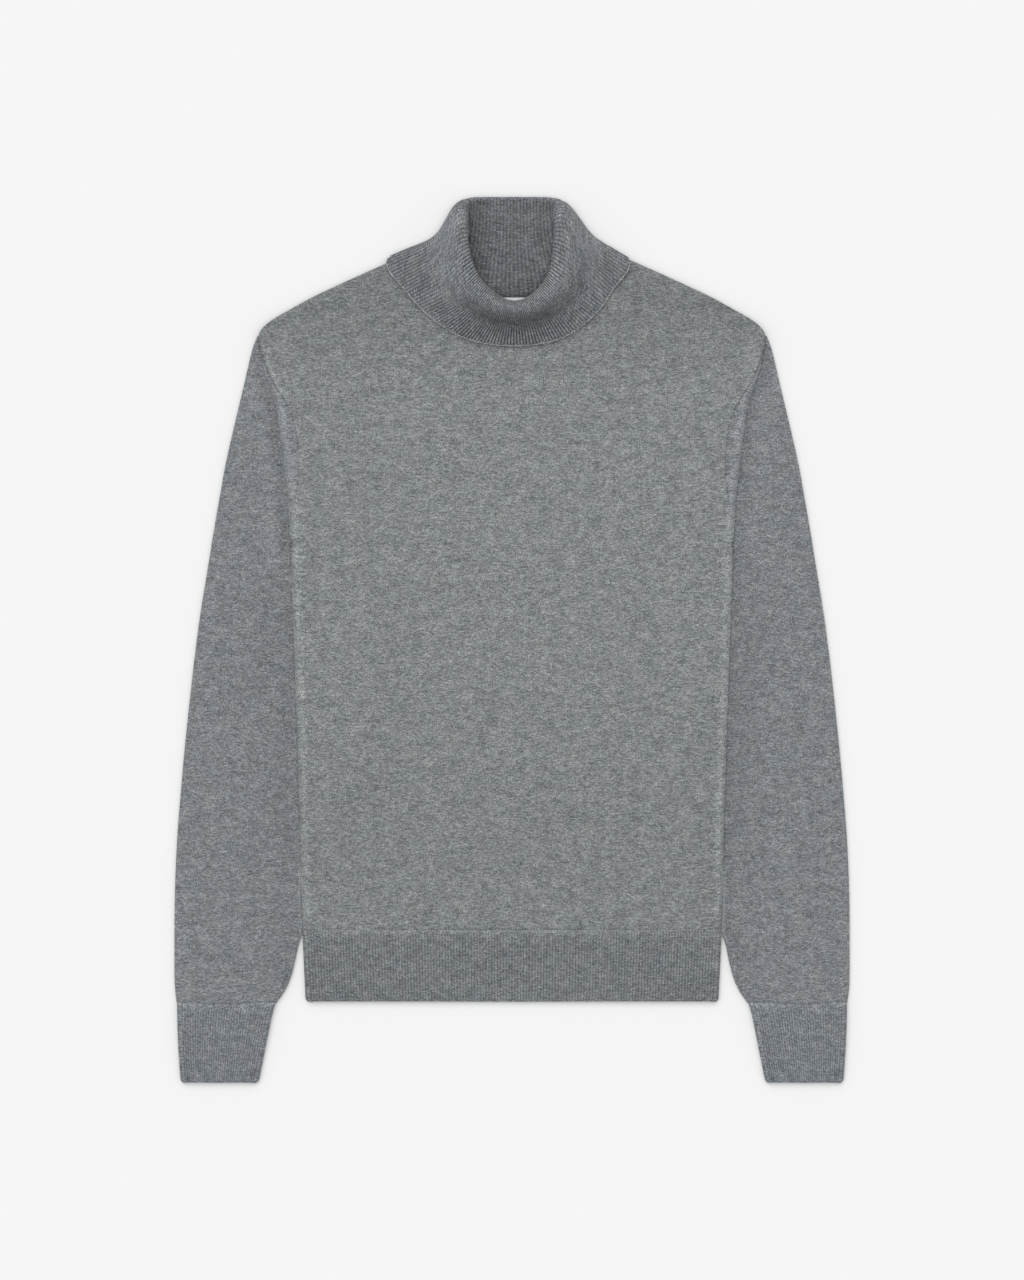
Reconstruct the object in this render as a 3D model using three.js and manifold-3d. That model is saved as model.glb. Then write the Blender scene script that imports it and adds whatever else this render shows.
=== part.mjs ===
import * as THREE from 'three';
import { mergeVertices } from 'three/addons/utils/BufferGeometryUtils.js';
import Module from 'manifold-3d';

// A turtleneck sweater of fine grey knit, laid flat on its back.
// Millimetres. +X is to the viewer's right, +Y towards the collar and +Z up from the table.
// Each piece is a thin wall of cloth. The sides of the body are folded behind it, and the
// sleeves turn out again from under that fold and hang beside the body.

// Cloth
const jersey = 1.4;
const ribWall = 1.5;
const ribHeight = 0.4;
const halfGap = 0.25;
const labelWall = 1.0;

// Height of the middle of each layer where the sleeve lies behind the body
const lowerLayer = jersey / 2;
const upperLayer = lowerLayer + 1.9;
const chestLevel = 3.4;
const doubledBack = 1.1;

// Clearances inside the folded side, and the width over which both panels rise onto it
const backInset = 6;
const tuckClear = 4;
const foldClear = 12;
const riseWidth = 50;
const riseInset = 8;

// Rise of the panels over the back of the collar
const frontNeckRise = 0.9;
const backNeckRise = 1.5;
const neckRiseReach = { bottom: 270, top: 310, side: 90, end: 130 };

// Shoulder edges
const collarInset = 5;
const collarReach = { from: 114, to: 128 };
const shoulderDrop = 0.9;
const backShoulderInset = 3;

// Air in the sleeve, starting a little outside the body's edge
const sleevePuff = 3.2;
const fullSleeve = 180;
const puffStart = 3;

// How far outside the body's edge, or the sleeve's own inner fold, its upper layer is cut
const upperCut = { besideFold: 2, besideTuck: 1 };
const outerTurnShare = 0.8;

// Heights along the garment
const sleeveTop = 270;
const capTop = 240;
const underarm = 66;
const hemSeam = -265;
const hemBottom = -330;
const cuffSeam = -331;
const cuffBottom = -404;

// Neck and shoulder. The centres are those that the neck's cut edges are moved away from.
const neckWidth = 84;
const frontCutCentre = 350;
const backCutCentre = 420;
const cutClearance = 0.75;

// The label below the back of the neck
const label = { left: -8.7, right: 13.2, bottom: 294, top: 310.8, cells: 3 };

// Ribs
const hemRibs = 141;
const cuffRibs = 33;
const collarRibs = 96;
const ribsPerCell = 3;
// Height part of a face's normal below which the face counts as facing down, and stays plain
const facingDown = -0.3;

// Rows of the collar from its seam to its free edge, and of the flat bands from seam to edge
const collarRows = [0, 0.22, 0.37, 0.46, 0.56, 0.66, 0.8, 1];
const bandRows = [0, 0.9, 1];

// The flat bands: the height of the upper face at the seam and at the edge, where the hem has
// come down to the lower one, and how much each edge droops.
const hemLevel = { seam: 3.9, edge: 3.3, settled: 0.6 };
const cuffLevel = { seam: 4.4, edge: 3.4 };
const edgeDroop = 0.5;
const bandRounding = 3;
const hemEdges = [
  { y: hemSeam, from: -191.2, to: 191.2 },
  { y: -283, from: -190.4, to: 190.4 },
  { y: hemBottom, from: -188.2, to: 188.2 },
];
const cuffEdges = [
  { y: cuffSeam, near: 216.5, far: 305.6 },
  { y: -352, near: 221.0, far: 305.2 },
  { y: -370, near: 224.6, far: 304.5 },
  { y: cuffBottom, near: 231.4, far: 302.2 },
];

// The side of the garment by height y, with the outline's distances from the centre line. fold is
// the body's rounded edge, turn how deep it rounds, seam the armhole, tuck the hidden fold from
// which the sleeve turns out, side the hidden side seam and outer the sleeve's outer edge. top and
// under are the heights of the front panel and of its part that is folded behind, lift raises the
// back panel over them, and double says how much of the back lies doubled.
const behindSleeve = { turn: 5, top: 9.6, under: 4.6, lift: 5.65, double: 1 };
const sideTable = [
  { y: 300, fold: 262, tuck: 262, turn: 1.6, top: 3.4, under: 4.6, lift: 0, double: 0 },
  { y: 270, fold: 231.0, seam: 230.1, tuck: 226, outer: 235.4, turn: 1.6, top: 6.6, under: 4.6, lift: 0,
    double: 0 },
  { y: 262, fold: 229.2, seam: 228.2, tuck: 220, outer: 237.8, turn: 2.0, top: 7.4, under: 4.6, lift: 0,
    double: 0 },
  { y: 246, fold: 225.8, seam: 221.6, tuck: 207, outer: 241.6, turn: 3.0, top: 8.6, under: 4.6, lift: 5.65,
    double: 0 },
  { y: 232, fold: 221.4, seam: 214.6, tuck: 197, outer: 244.8, ...behindSleeve, turn: 4 },
  { y: 217, fold: 215.9, seam: 205.2, tuck: 186, outer: 248.4, ...behindSleeve },
  { y: 190, fold: 211.8, seam: 196.6, tuck: 170, outer: 254.8, ...behindSleeve },
  { y: 155, fold: 207.2, seam: 194.0, tuck: 155, outer: 262.5, ...behindSleeve },
  { y: 128, fold: 204.3, seam: 195.6, tuck: 148, outer: 267.2, ...behindSleeve },
  { y: 116, fold: 203.6, seam: 197.6, tuck: 145, outer: 269.4, ...behindSleeve },
  { y: 104, fold: 203.0, seamCell: 3.6, tuck: 142, outer: 271.4, ...behindSleeve },
  { y: 99, fold: 202.8, seamCell: 4.8, tuck: 141.4, outer: 272.2, ...behindSleeve },
  { y: 93, fold: 202.5, seamCell: 6.0, tuck: 140.6, outer: 273.3, ...behindSleeve },
  { y: 82, fold: 202.0, seamCell: 7, tuck: 139, outer: 275.0, ...behindSleeve },
  { y: 66, fold: 201.3, seamCell: 7.8, tuck: 138, outer: 277.6, ...behindSleeve },
  { y: 18, fold: 199.6, side: 146, tuck: 144, outer: 285.3, ...behindSleeve },
  { y: -55, fold: 196.9, side: 158, tuck: 156, outer: 294.2, ...behindSleeve },
  { y: -128, fold: 194.6, side: 168, tuck: 171, outer: 301.4, ...behindSleeve },
  { y: -195, fold: 192.8, side: 174, tuck: 194, outer: 306.4, ...behindSleeve },
  { y: -235, fold: 192.4, side: 177, tuck: 193.4, outer: 307.8, turn: 4.5, top: 5.8, under: 1.1, lift: 2.15,
    double: 1 },
  { y: -265, fold: 191.4, side: 180, tuck: 192.4, outer: 308.1, turn: 4, top: 4.6, under: 0.8, lift: 1.85,
    double: 0.4 },
  { y: -287, tuck: 196.5, outer: 308.1, turn: 4 },
  { y: -306, tuck: 201.3, outer: 308.1, turn: 4 },
  { y: -318, tuck: 206.0, outer: 307.6, turn: 4 },
  { y: -331, tuck: 214.5, outer: 306.0, turn: 4 },
];
// The same rows for the middle of the cloth, half a wall inside the outline.
const sides = sideTable.map((row) => {
  const inside = { ...row };
  for (const name of ['fold', 'outer']) if (name in row) inside[name] = row[name] - jersey / 2;
  return inside;
});

// The shoulder edge from the neck outwards
const shoulder = [
  { x: 84, y: 356.5 }, { x: 116, y: 342.6 }, { x: 136, y: 333.7 }, { x: 160, y: 322.8 }, { x: 183, y: 311.8 },
  { x: 203, y: 300.8 }, { x: 221, y: 289.9 }, { x: 227, y: 284.4 }, { x: 230.5, y: 278.9 },
];

// The folded collar, station by station from the back of the neck round the left side to the
// front. seam joins the neck, stand is the upright part, lip the edge of the opening, crest the
// top of the roll, fall the turned-down part and edge its free end.
const collarStations = [
  { seam: [0, 312.4, 2.4], stand: [0, 358, 3.3], lip: [0, 400, 3.3], crest: [0, 403.8, 2.1],
    fall: [0, 360, 0.75], edge: [0, 320, 0.75] },
  { seam: [30, 316.4, 2.4], stand: [23, 360, 3.3], lip: [21, 400, 3.3], crest: [21, 403.8, 2.1],
    fall: [28, 362, 0.75], edge: [31, 324, 0.75] },
  { seam: [54, 327.4, 2.4], stand: [41, 364, 3.3], lip: [36, 398.6, 3.3], crest: [37, 403.2, 2.1],
    fall: [48, 366, 0.75], edge: [56, 337, 0.75] },
  { seam: [72, 340.6, 2.6], stand: [53, 369, 3.4], lip: [43, 396, 3.5], crest: [46, 400.4, 2.3],
    fall: [62, 371, 0.75], edge: [82, 357, 0.75] },
  { seam: [83, 350.6, 3.6], stand: [57, 371, 4.5], lip: [45, 392, 5.0], crest: [50, 396.4, 4.6],
    fall: [71.5, 367.2, 3.4], edge: [113.5, 345.0, 3.2] },
  { seam: [83.5, 340, 4.6], stand: [54, 365, 5.8], lip: [41.5, 386, 7.6], crest: [46.5, 387, 9.6],
    fall: [70, 359, 8.2], edge: [112, 337.6, 6.4] },
  { seam: [79, 322, 4.6], stand: [47, 348, 5.8], lip: [38.8, 360, 8.4], crest: [46, 357, 13.0],
    fall: [69, 338, 9.0], edge: [98.6, 321, 6.2] },
  { seam: [65, 301, 4.6], stand: [38, 327, 5.8], lip: [29.8, 334, 9.2], crest: [37, 328, 16.4],
    fall: [56, 311, 9.4], edge: [80.5, 299, 6.0] },
  { seam: [38, 283, 4.6], stand: [22, 309.5, 5.8], lip: [15.4, 316.4, 10], crest: [20, 309, 19.0],
    fall: [31, 293, 9.4], edge: [46.5, 276.2, 5.8] },
  { seam: [0, 277.4, 4.6], stand: [0, 301, 5.8], lip: [0, 309.8, 10], crest: [0, 302, 20.0],
    fall: [0, 287, 9.4], edge: [0, 268.6, 5.8] },
];
// The collar sits a little turned: its right side is narrower and its front lies to the right.
const rightCollarShrink = 0.94;
const frontShift = 2.5;

// Height that parts the front half of the collar's seam from its back half
const seamDivide = 3.6;

// Builds a thin wall round a middle surface given as patches of points.
class Cloth {
  constructor() {
    this.points = [];
    this.lookup = new Map();
    this.triangles = [];
  }

  vertex(p) {
    const key = [p.x, p.y, p.z].map((value) => Math.round(value * 1e3)).join(' ');
    if (!this.lookup.has(key)) {
      this.lookup.set(key, this.points.length);
      this.points.push(p.clone());
    }
    return this.lookup.get(key);
  }

  // Adds a grid of points, row by row. Cells that shrink to a line are left out.
  patch(rows, flip = false) {
    const ids = rows.map((row) => row.map((p) => this.vertex(p)));
    for (let j = 0; j + 1 < ids.length; j++) {
      for (let i = 0; i + 1 < ids[j].length; i++) {
        const [a, b, c, d] = [ids[j][i], ids[j][i + 1], ids[j + 1][i + 1], ids[j + 1][i]];
        for (const [p, q, r] of [[a, b, c], [a, c, d]]) {
          if (p !== q && q !== r && r !== p) this.triangles.push(flip ? [p, r, q] : [p, q, r]);
        }
      }
    }
  }

  normals() {
    const sums = this.points.map(() => new THREE.Vector3());
    for (const triangle of this.triangles) {
      const [a, b, c] = triangle.map((id) => this.points[id]);
      const normal = b.clone().sub(a).cross(c.clone().sub(a));
      triangle.forEach((id) => sums[id].add(normal));
    }
    return sums.map((sum) => sum.normalize());
  }

  // Closes the wall with both faces and a rim along every open edge.
  wall(thickness) {
    const normals = this.normals();
    const count = this.points.length;
    const place = (side) => this.points.map((p, id) => {
      return p.clone().addScaledVector(normals[id], side * thickness(p) / 2);
    });
    const vertices = [...place(1), ...place(-1)];
    const faces = [];
    const edges = new Map();
    for (const [a, b, c] of this.triangles) {
      faces.push([a, b, c], [a + count, c + count, b + count]);
      for (const [p, q] of [[a, b], [b, c], [c, a]]) edges.set(`${p} ${q}`, [p, q]);
    }
    for (const [p, q] of edges.values()) {
      if (!edges.has(`${q} ${p}`)) faces.push([q, p, p + count], [q, p + count, q + count]);
    }
    return solid(vertices, faces);
  }
}

function solid(vertices, faces) {
  const geometry = new THREE.BufferGeometry();
  const flat = vertices.flatMap((p) => [p.x, p.y, p.z]);
  geometry.setAttribute('position', new THREE.Float32BufferAttribute(flat, 3));
  let volume = 0;
  for (const [a, b, c] of faces) volume += vertices[a].dot(vertices[b].clone().cross(vertices[c]));
  geometry.setIndex(faces.flatMap(([a, b, c]) => (volume > 0 ? [a, b, c] : [a, c, b])));
  geometry.computeVertexNormals();
  return geometry;
}

const wasm = await Module();
wasm.setup();

function toManifold(geometry) {
  const merged = geometry.clone();
  merged.deleteAttribute('normal');
  if (merged.hasAttribute('uv')) merged.deleteAttribute('uv');
  const closed = mergeVertices(merged, 1e-4);
  const vertProperties = new Float32Array(closed.attributes.position.array);
  const triVerts = new Uint32Array(closed.index.array);
  return new wasm.Manifold(new wasm.Mesh({ numProp: 3, vertProperties, triVerts }));
}

function fromManifold(manifold) {
  const mesh = manifold.getMesh();
  const geometry = new THREE.BufferGeometry();
  geometry.setAttribute('position', new THREE.BufferAttribute(mesh.vertProperties, mesh.numProp));
  geometry.setIndex(new THREE.BufferAttribute(mesh.triVerts, 1));
  geometry.computeVertexNormals();
  return geometry;
}

function mix(a, b, t) {
  return a + (b - a) * t;
}

function ease(from, to, value) {
  const t = THREE.MathUtils.clamp((value - from) / (to - from), 0, 1);
  return t * t * (3 - 2 * t);
}

// Straight reading of one column of a table between the rows on either side of a key.
function read(table, key, value, column) {
  const rows = table.filter((row) => row[column] !== undefined).sort((a, b) => a[key] - b[key]);
  const next = rows.findIndex((row) => row[key] >= value);
  if (next === -1) return rows[rows.length - 1][column];
  if (next === 0) return rows[0][column];
  const [a, b] = [rows[next - 1], rows[next]];
  return mix(a[column], b[column], (value - a[key]) / (b[key] - a[key]));
}

// How far a point lies on the raised side of the body, from 0 in the middle to 1 at the fold.
function raise(x, y) {
  const innermost = y < underarm ? Math.min(read(sides, 'y', y, 'tuck'), read(sides, 'y', y, 'side'))
    : read(sides, 'y', y, 'tuck');
  const tuck = Math.min(innermost, read(sides, 'y', y, 'fold') - foldClear);
  return ease(tuck - riseInset - riseWidth, tuck - riseInset, Math.abs(x));
}

// Near the neck both panels rise over the back of the folded collar.
function neckRise(x, y) {
  const { bottom, top, side, end } = neckRiseReach;
  return ease(bottom, top, y) * (1 - ease(side, end, Math.abs(x)));
}

function frontHeight(x, y) {
  return mix(chestLevel + frontNeckRise * neckRise(x, y), read(sides, 'y', y, 'top'), raise(x, y));
}

// The back panel lies on the table in the middle, and over the folded layers at its sides.
function backHeight(x, y) {
  return mix(backNeckRise * neckRise(x, y), read(sides, 'y', y, 'lift'), raise(x, y)) + backWall(x, y) / 2;
}

function backWall(x, y) {
  return jersey + doubledBack * raise(x, y) * read(sides, 'y', y, 'double');
}

// Legs of the folded side seen along the body, with the number of cells each is cut into.
const stripCells = 2;
const bendCells = 4;
const behindCells = 2;
const pleatCells = 3;
const pleat = 1.0;
const foldedCells = bendCells + behindCells;

function sideLegs(row, behindEnd, stripStart) {
  const start = row.fold - row.turn;
  const rise = (row.top - row.under) / 2;
  const pleatMiddle = (row.under + upperLayer) / 2;
  const stripX = (t) => mix(stripStart, start, t);
  return [
    { cells: stripCells, at: (t) => [stripX(t), frontHeight(stripX(t), row.y)] },
    { cells: bendCells, at: (t) => [start + row.turn * Math.sin(Math.PI * t),
      row.under + rise + rise * Math.cos(Math.PI * t)] },
    { cells: behindCells, at: (t) => [mix(start, behindEnd + pleat, t), row.under] },
    { cells: pleatCells, at: (t) => [behindEnd + pleat - pleat * Math.sin(Math.PI * t),
      pleatMiddle + (row.under - pleatMiddle) * Math.cos(Math.PI * t)] },
  ];
}

function walk(legs, cells) {
  let left = cells;
  for (const leg of legs) {
    if (left <= leg.cells) return leg.at(left / leg.cells);
    left -= leg.cells;
  }
  return legs[legs.length - 1].at(1);
}

// Where the armhole seam crosses the folded side at one height, counted in cells from the strip.
// On the rounded edge the gap is wider, because there the two walls lean towards each other.
const bentGap = 4.8;

function seamCell(row, shift) {
  const start = row.fold - row.turn;
  const bent = row.seamCell !== undefined && row.seamCell < stripCells + bendCells;
  const cellWidth = bent ? Math.PI * row.turn / bendCells : (start - row.tuck) / behindCells;
  if (row.seamCell !== undefined) return row.seamCell + bentGap * shift / cellWidth;
  const depth = (row.seam - start) / row.turn;
  if (depth <= 0) return 0;
  return stripCells + bendCells * (Math.asin(Math.min(depth, 1)) + bentGap * shift / row.turn) / Math.PI;
}

function bodyRows() {
  return sides.filter((row) => row.y <= sleeveTop && row.y >= hemSeam);
}

const chestColumns = [0, 0.2, 0.365, 0.48, 0.58, 0.68, 0.78, 0.89, 1];
const topRows = [0.3, 0.62, 0.94, 1];

// The shoulder edge, drawn in a little where the collar wraps round it. Inside the neck points
// it runs straight across, and the neck is cut out of it.
function topLine(x) {
  const across = Math.max(Math.abs(x), neckWidth);
  const drawnIn = collarInset * (1 - ease(collarReach.from, collarReach.to, across));
  return read(shoulder, 'x', across, 'y') - drawnIn;
}

// Adds the right half of a panel and its mirror image, which share the centre line.
function bothHalves(cloth, rows) {
  cloth.patch(rows);
  cloth.patch(rows.map((row) => row.map((p) => new THREE.Vector3(-p.x, p.y, p.z))), true);
}

function frontPanel() {
  const cloth = new Cloth();
  const half = (row) => {
    const edge = row.fold - row.turn;
    const flat = row.seam === undefined ? edge : Math.min(row.seam - halfGap, edge);
    const onFlat = (x) => new THREE.Vector3(x, row.y, frontHeight(x, row.y));
    const columns = chestColumns.map((f) => onFlat(f * flat));
    const legs = sideLegs(row, row.side ?? row.tuck, flat);
    const last = row.side === undefined ? seamCell(row, -halfGap) : stripCells + foldedCells;
    for (let k = 1; k <= foldedCells; k++) {
      const [x, z] = walk(legs, Math.max(stripCells, Math.min(stripCells + k, last)));
      columns.push(new THREE.Vector3(x, row.y, z));
      if (last <= stripCells) columns[columns.length - 1].copy(columns[chestColumns.length - 1]);
    }
    return columns;
  };
  const rows = bodyRows().map(half);
  rows[rows.length - 1].forEach((p) => { p.y += halfGap; });
  bothHalves(cloth, rows.reverse());
  const sleeveEnd = rows[rows.length - 1];
  const upper = [sleeveEnd, ...topRows.map((t) => sleeveEnd.map((p) => {
    const y = mix(p.y, topLine(p.x), t);
    const edgeDrop = t === 1 && p.x >= neckWidth ? shoulderDrop : 0;
    return new THREE.Vector3(p.x, y, mix(p.z, frontHeight(p.x, y), Math.min(1, t * 4)) - edgeDrop);
  }))];
  bothHalves(cloth, upper);
  return cutNeck(cloth.wall(() => jersey), 1);
}

function backPanel() {
  const cloth = new Cloth();
  const inset = (row) => (row.y > capTop ? row.tuck - tuckClear : row.fold - row.turn - backInset);
  const rows = bodyRows().map((row) => chestColumns.map((f) => {
    const x = f * inset(row);
    return new THREE.Vector3(x, row.y, backHeight(x, row.y));
  }));
  rows[rows.length - 1].forEach((p) => { p.y += halfGap; });
  bothHalves(cloth, rows.reverse());
  const shoulderRow = rows[rows.length - 1];
  const upper = [shoulderRow, ...topRows.map((t) => shoulderRow.map((p) => {
    const inside = p.x >= neckWidth ? backShoulderInset : 0;
    const y = mix(p.y, topLine(p.x) - inside, t);
    return new THREE.Vector3(p.x, y, backHeight(p.x, y));
  }))];
  bothHalves(cloth, upper);
  return cutNeck(cloth.wall((p) => backWall(p.x, p.y)), -1);
}

// Cuts the neck out of a panel along the seam of the collar. The front half of that seam shapes
// the front panel, and its back half shapes the back panel.
function cutNeck(geometry, half) {
  const count = 160;
  const loop = collarGuides()[0].getPoints(count).slice(0, count);
  const ordered = half > 0 ? loop : [...loop.slice(count / 2), ...loop.slice(0, count / 2)];
  const centre = half > 0 ? frontCutCentre : backCutCentre;
  const cutLine = ordered.filter((p) => half * (p.z - seamDivide) > 0).map((p) => {
    const out = new THREE.Vector2(p.x, p.y - centre).setLength(cutClearance);
    return new THREE.Vector2(p.x, p.y).add(out);
  });
  const margin = 10;
  const ends = [cutLine[0], cutLine[cutLine.length - 1]].map((p) => {
    return new THREE.Vector2(p.x, topLine(0) + margin);
  });
  const outline = new THREE.Shape([ends[0], ...cutLine, ends[1]]);
  const prism = new THREE.ExtrudeGeometry(outline, { depth: 3 * margin, bevelEnabled: false });
  prism.translate(0, 0, -margin);
  return fromManifold(toManifold(geometry).subtract(toManifold(prism)));
}

// A sleeve has an open cap above the underarm and is a flattened tube below it.
function sleeve(side) {
  const cloth = new Cloth();
  const point = (row, [x, z]) => new THREE.Vector3(side * x, row.y, z);
  const puff = (row, x) => {
    const inner = row.y >= hemSeam ? row.fold + puffStart : row.tuck;
    const t = THREE.MathUtils.clamp((x - inner) / (row.outer - inner), 0, 1);
    return sleevePuff * Math.sin(Math.PI * t) * ease(sleeveTop, fullSleeve, row.y);
  };
  const flapCells = stripCells + foldedCells + pleatCells;
  const flap = (row) => {
    const legs = sideLegs(row, row.tuck, (row.seam ?? row.fold) + halfGap);
    const first = seamCell(row, halfGap);
    return Array.from({ length: flapCells + 1 }, (_, k) => point(row, walk(legs, Math.max(first, k))));
  };
  const turn = (row) => Math.min(row.turn * outerTurnShare, (row.outer - row.tuck) / 4);
  const tube = (row) => {
    const [inner, outer] = [row.tuck + pleat, row.outer - turn(row)];
    const beside = row.y >= hemSeam ? row.fold + upperCut.besideFold : 0;
    const shown = Math.max(beside, inner + upperCut.besideTuck);
    const middle = (upperLayer + lowerLayer) / 2;
    const legs = [
      { cells: 1, at: (t) => [mix(inner, shown, t), upperLayer] },
      { cells: 4, at: (t) => [mix(shown, outer, t), upperLayer + puff(row, mix(shown, outer, t))] },
      { cells: 4, at: (t) => [outer + turn(row) * Math.sin(Math.PI * t),
        middle + (upperLayer - middle) * Math.cos(Math.PI * t) + puff(row, outer) * (1 - t)] },
      { cells: 2, at: (t) => [mix(outer, inner, t), lowerLayer] },
    ];
    return Array.from({ length: 12 }, (_, k) => point(row, walk(legs, k)));
  };
  const closing = (row) => Array.from({ length: pleatCells + 1 }, (_, k) => {
    const angle = Math.PI * k / pleatCells;
    const middle = (upperLayer + lowerLayer) / 2;
    const height = middle - (upperLayer - middle) * Math.cos(angle);
    return point(row, [row.tuck + pleat - pleat * Math.sin(angle), height]);
  });
  const ends = (rows) => rows.map((row) => (row.y === cuffSeam ? { ...row, y: row.y + halfGap } : row));
  const whole = ends(sides.filter((row) => row.y <= sleeveTop));
  cloth.patch(whole.filter((row) => row.y >= underarm).map(flap), side < 0);
  cloth.patch(whole.map(tube), side < 0);
  cloth.patch(whole.filter((row) => row.y <= underarm).map(closing), side < 0);
  return cloth.wall(() => jersey);
}

// A closed ribbed tube. Its outer face carries raised ribs, but for the part that faces down, and
// its inner face is plain. Cells gives for each stretch round the tube where it starts and how
// many ribs it carries.
function ribbedTube(point, cells, rows) {
  const step = 1e-3;
  const normal = (u, v) => {
    const [v0, v1] = [Math.max(v - step, 0), Math.min(v + step, 1)];
    const around = point(u + step, v).sub(point(u - step, v));
    return around.cross(point(u, v1).sub(point(u, v0))).normalize();
  };
  const inner = [];
  const outer = [];
  const starts = [];
  for (const [index, cell] of cells.entries()) {
    const end = index + 1 < cells.length ? cells[index + 1].u : cells[0].u + 1;
    const columns = Math.max(1, cell.ribs * 2);
    starts.push(outer.length);
    inner.push(rows.map((v) => point(cell.u, v).addScaledVector(normal(cell.u, v), -ribWall / 2)));
    for (let k = 0; k < columns; k++) {
      const u = mix(cell.u, end, k / columns);
      outer.push(rows.map((v) => {
        const n = normal(u, v);
        const raised = k % 2 === 1 && n.z > facingDown ? ribHeight : 0;
        return point(u, v).addScaledVector(n, ribWall / 2 + raised);
      }));
    }
  }
  const width = rows.length;
  const base = outer.length * width;
  const vertices = [...outer.flat(), ...inner.flat()];
  const outerId = (i, j) => (i % outer.length) * width + j;
  const innerId = (i, j) => base + (i % inner.length) * width + j;
  const faces = [];
  const quad = (a, b, c, d) => faces.push([a, b, c], [a, c, d]);
  for (let j = 0; j + 1 < width; j++) {
    outer.forEach((_, i) => quad(outerId(i, j), outerId(i + 1, j), outerId(i + 1, j + 1), outerId(i, j + 1)));
    inner.forEach((_, i) => quad(innerId(i, j), innerId(i, j + 1), innerId(i + 1, j + 1), innerId(i + 1, j)));
  }
  for (const [j, turned] of [[0, false], [width - 1, true]]) {
    const add = (a, b, c) => faces.push(turned ? [a, c, b] : [a, b, c]);
    starts.forEach((first, i) => {
      const last = i + 1 < starts.length ? starts[i + 1] : outer.length;
      const middle = first + Math.ceil((last - first) / 2);
      for (let k = first; k < middle; k++) add(innerId(i, j), outerId(k + 1, j), outerId(k, j));
      add(innerId(i, j), innerId(i + 1, j), outerId(middle, j));
      for (let k = middle; k < last; k++) add(innerId(i + 1, j), outerId(k + 1, j), outerId(k, j));
    });
  }
  return solid(vertices, faces);
}

// A ribbed band lying flat: its upper face carries the ribs and its lower face rests on the table.
// edges gives, by height, the band's two sides, and level the height of its upper face.
function flatBand(edges, level, ribs) {
  const lower = ribWall / 2;
  const parts = { top: 0.7, turn: 0.05, bottom: 0.2 };
  const point = (u, v) => {
    const y = mix(edges[0].y, edges[edges.length - 1].y, v);
    const from = read(edges, 'y', y, 'from') + bandRounding;
    const to = read(edges, 'y', y, 'to') - bandRounding;
    const upper = level(v);
    const middle = (upper + lower) / 2;
    let w = ((u % 1) + 1) % 1;
    if (w <= parts.top) return new THREE.Vector3(mix(from, to, w / parts.top), y, upper);
    w -= parts.top;
    const arc = (centre, way, t) => {
      const x = centre + way * bandRounding * Math.sin(Math.PI * t);
      return new THREE.Vector3(x, y, middle + way * (upper - middle) * Math.cos(Math.PI * t));
    };
    if (w <= parts.turn) return arc(to, 1, w / parts.turn);
    w -= parts.turn;
    if (w <= parts.bottom) return new THREE.Vector3(mix(to, from, w / parts.bottom), y, lower);
    w -= parts.bottom;
    return arc(from, -1, w / parts.turn);
  };
  const cells = [];
  const add = (start, span, count, ribCount) => {
    for (let k = 0; k < count; k++) cells.push({ u: start + span * k / count, ribs: ribCount });
  };
  add(0, parts.top, ribs / ribsPerCell, ribsPerCell);
  add(parts.top, parts.turn, 4, 0);
  add(parts.top + parts.turn, parts.bottom, 4, 0);
  add(1 - parts.turn, parts.turn, 4, 0);
  return { point, cells };
}

// Leaves the gap of the seam between a band's first row and the cloth above it.
function belowSeam(edges) {
  return edges.map((row, index) => (index === 0 ? { ...row, y: row.y - halfGap } : row));
}

function droop(v) {
  return edgeDroop * ease(bandRows[1], 1, v);
}

function hemBand() {
  const { seam, edge, settled } = hemLevel;
  const level = (v) => mix(seam, edge, ease(0, settled, v)) - droop(v);
  const { point, cells } = flatBand(belowSeam(hemEdges), level, hemRibs);
  return ribbedTube(point, cells, bandRows);
}

function cuff(side) {
  const edges = belowSeam(cuffEdges).map(({ y, near, far }) => {
    return side > 0 ? { y, from: near, to: far } : { y, from: -far, to: -near };
  });
  const level = (v) => mix(cuffLevel.seam, cuffLevel.edge, v) - droop(v);
  const { point, cells } = flatBand(edges, level, cuffRibs);
  return ribbedTube(point, cells, bandRows);
}

// Closed curves through one point of every collar station, round both sides of the neck.
function collarGuides() {
  const names = ['seam', 'stand', 'lip', 'crest', 'fall', 'edge'];
  const centre = (station) => frontShift * ease(360, 300, station.crest[1]);
  return names.map((name) => {
    const left = collarStations.map((station) => {
      const [x, y, z] = station[name];
      return new THREE.Vector3(-x + centre(station), y, z);
    });
    const shrink = name === 'seam' ? 1 : rightCollarShrink;
    const right = collarStations.slice(1, -1).reverse().map((station) => {
      const [x, y, z] = station[name];
      return new THREE.Vector3(x * shrink + centre(station), y, z);
    });
    return new THREE.CatmullRomCurve3([...left, ...right], true, 'centripetal');
  });
}

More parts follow.
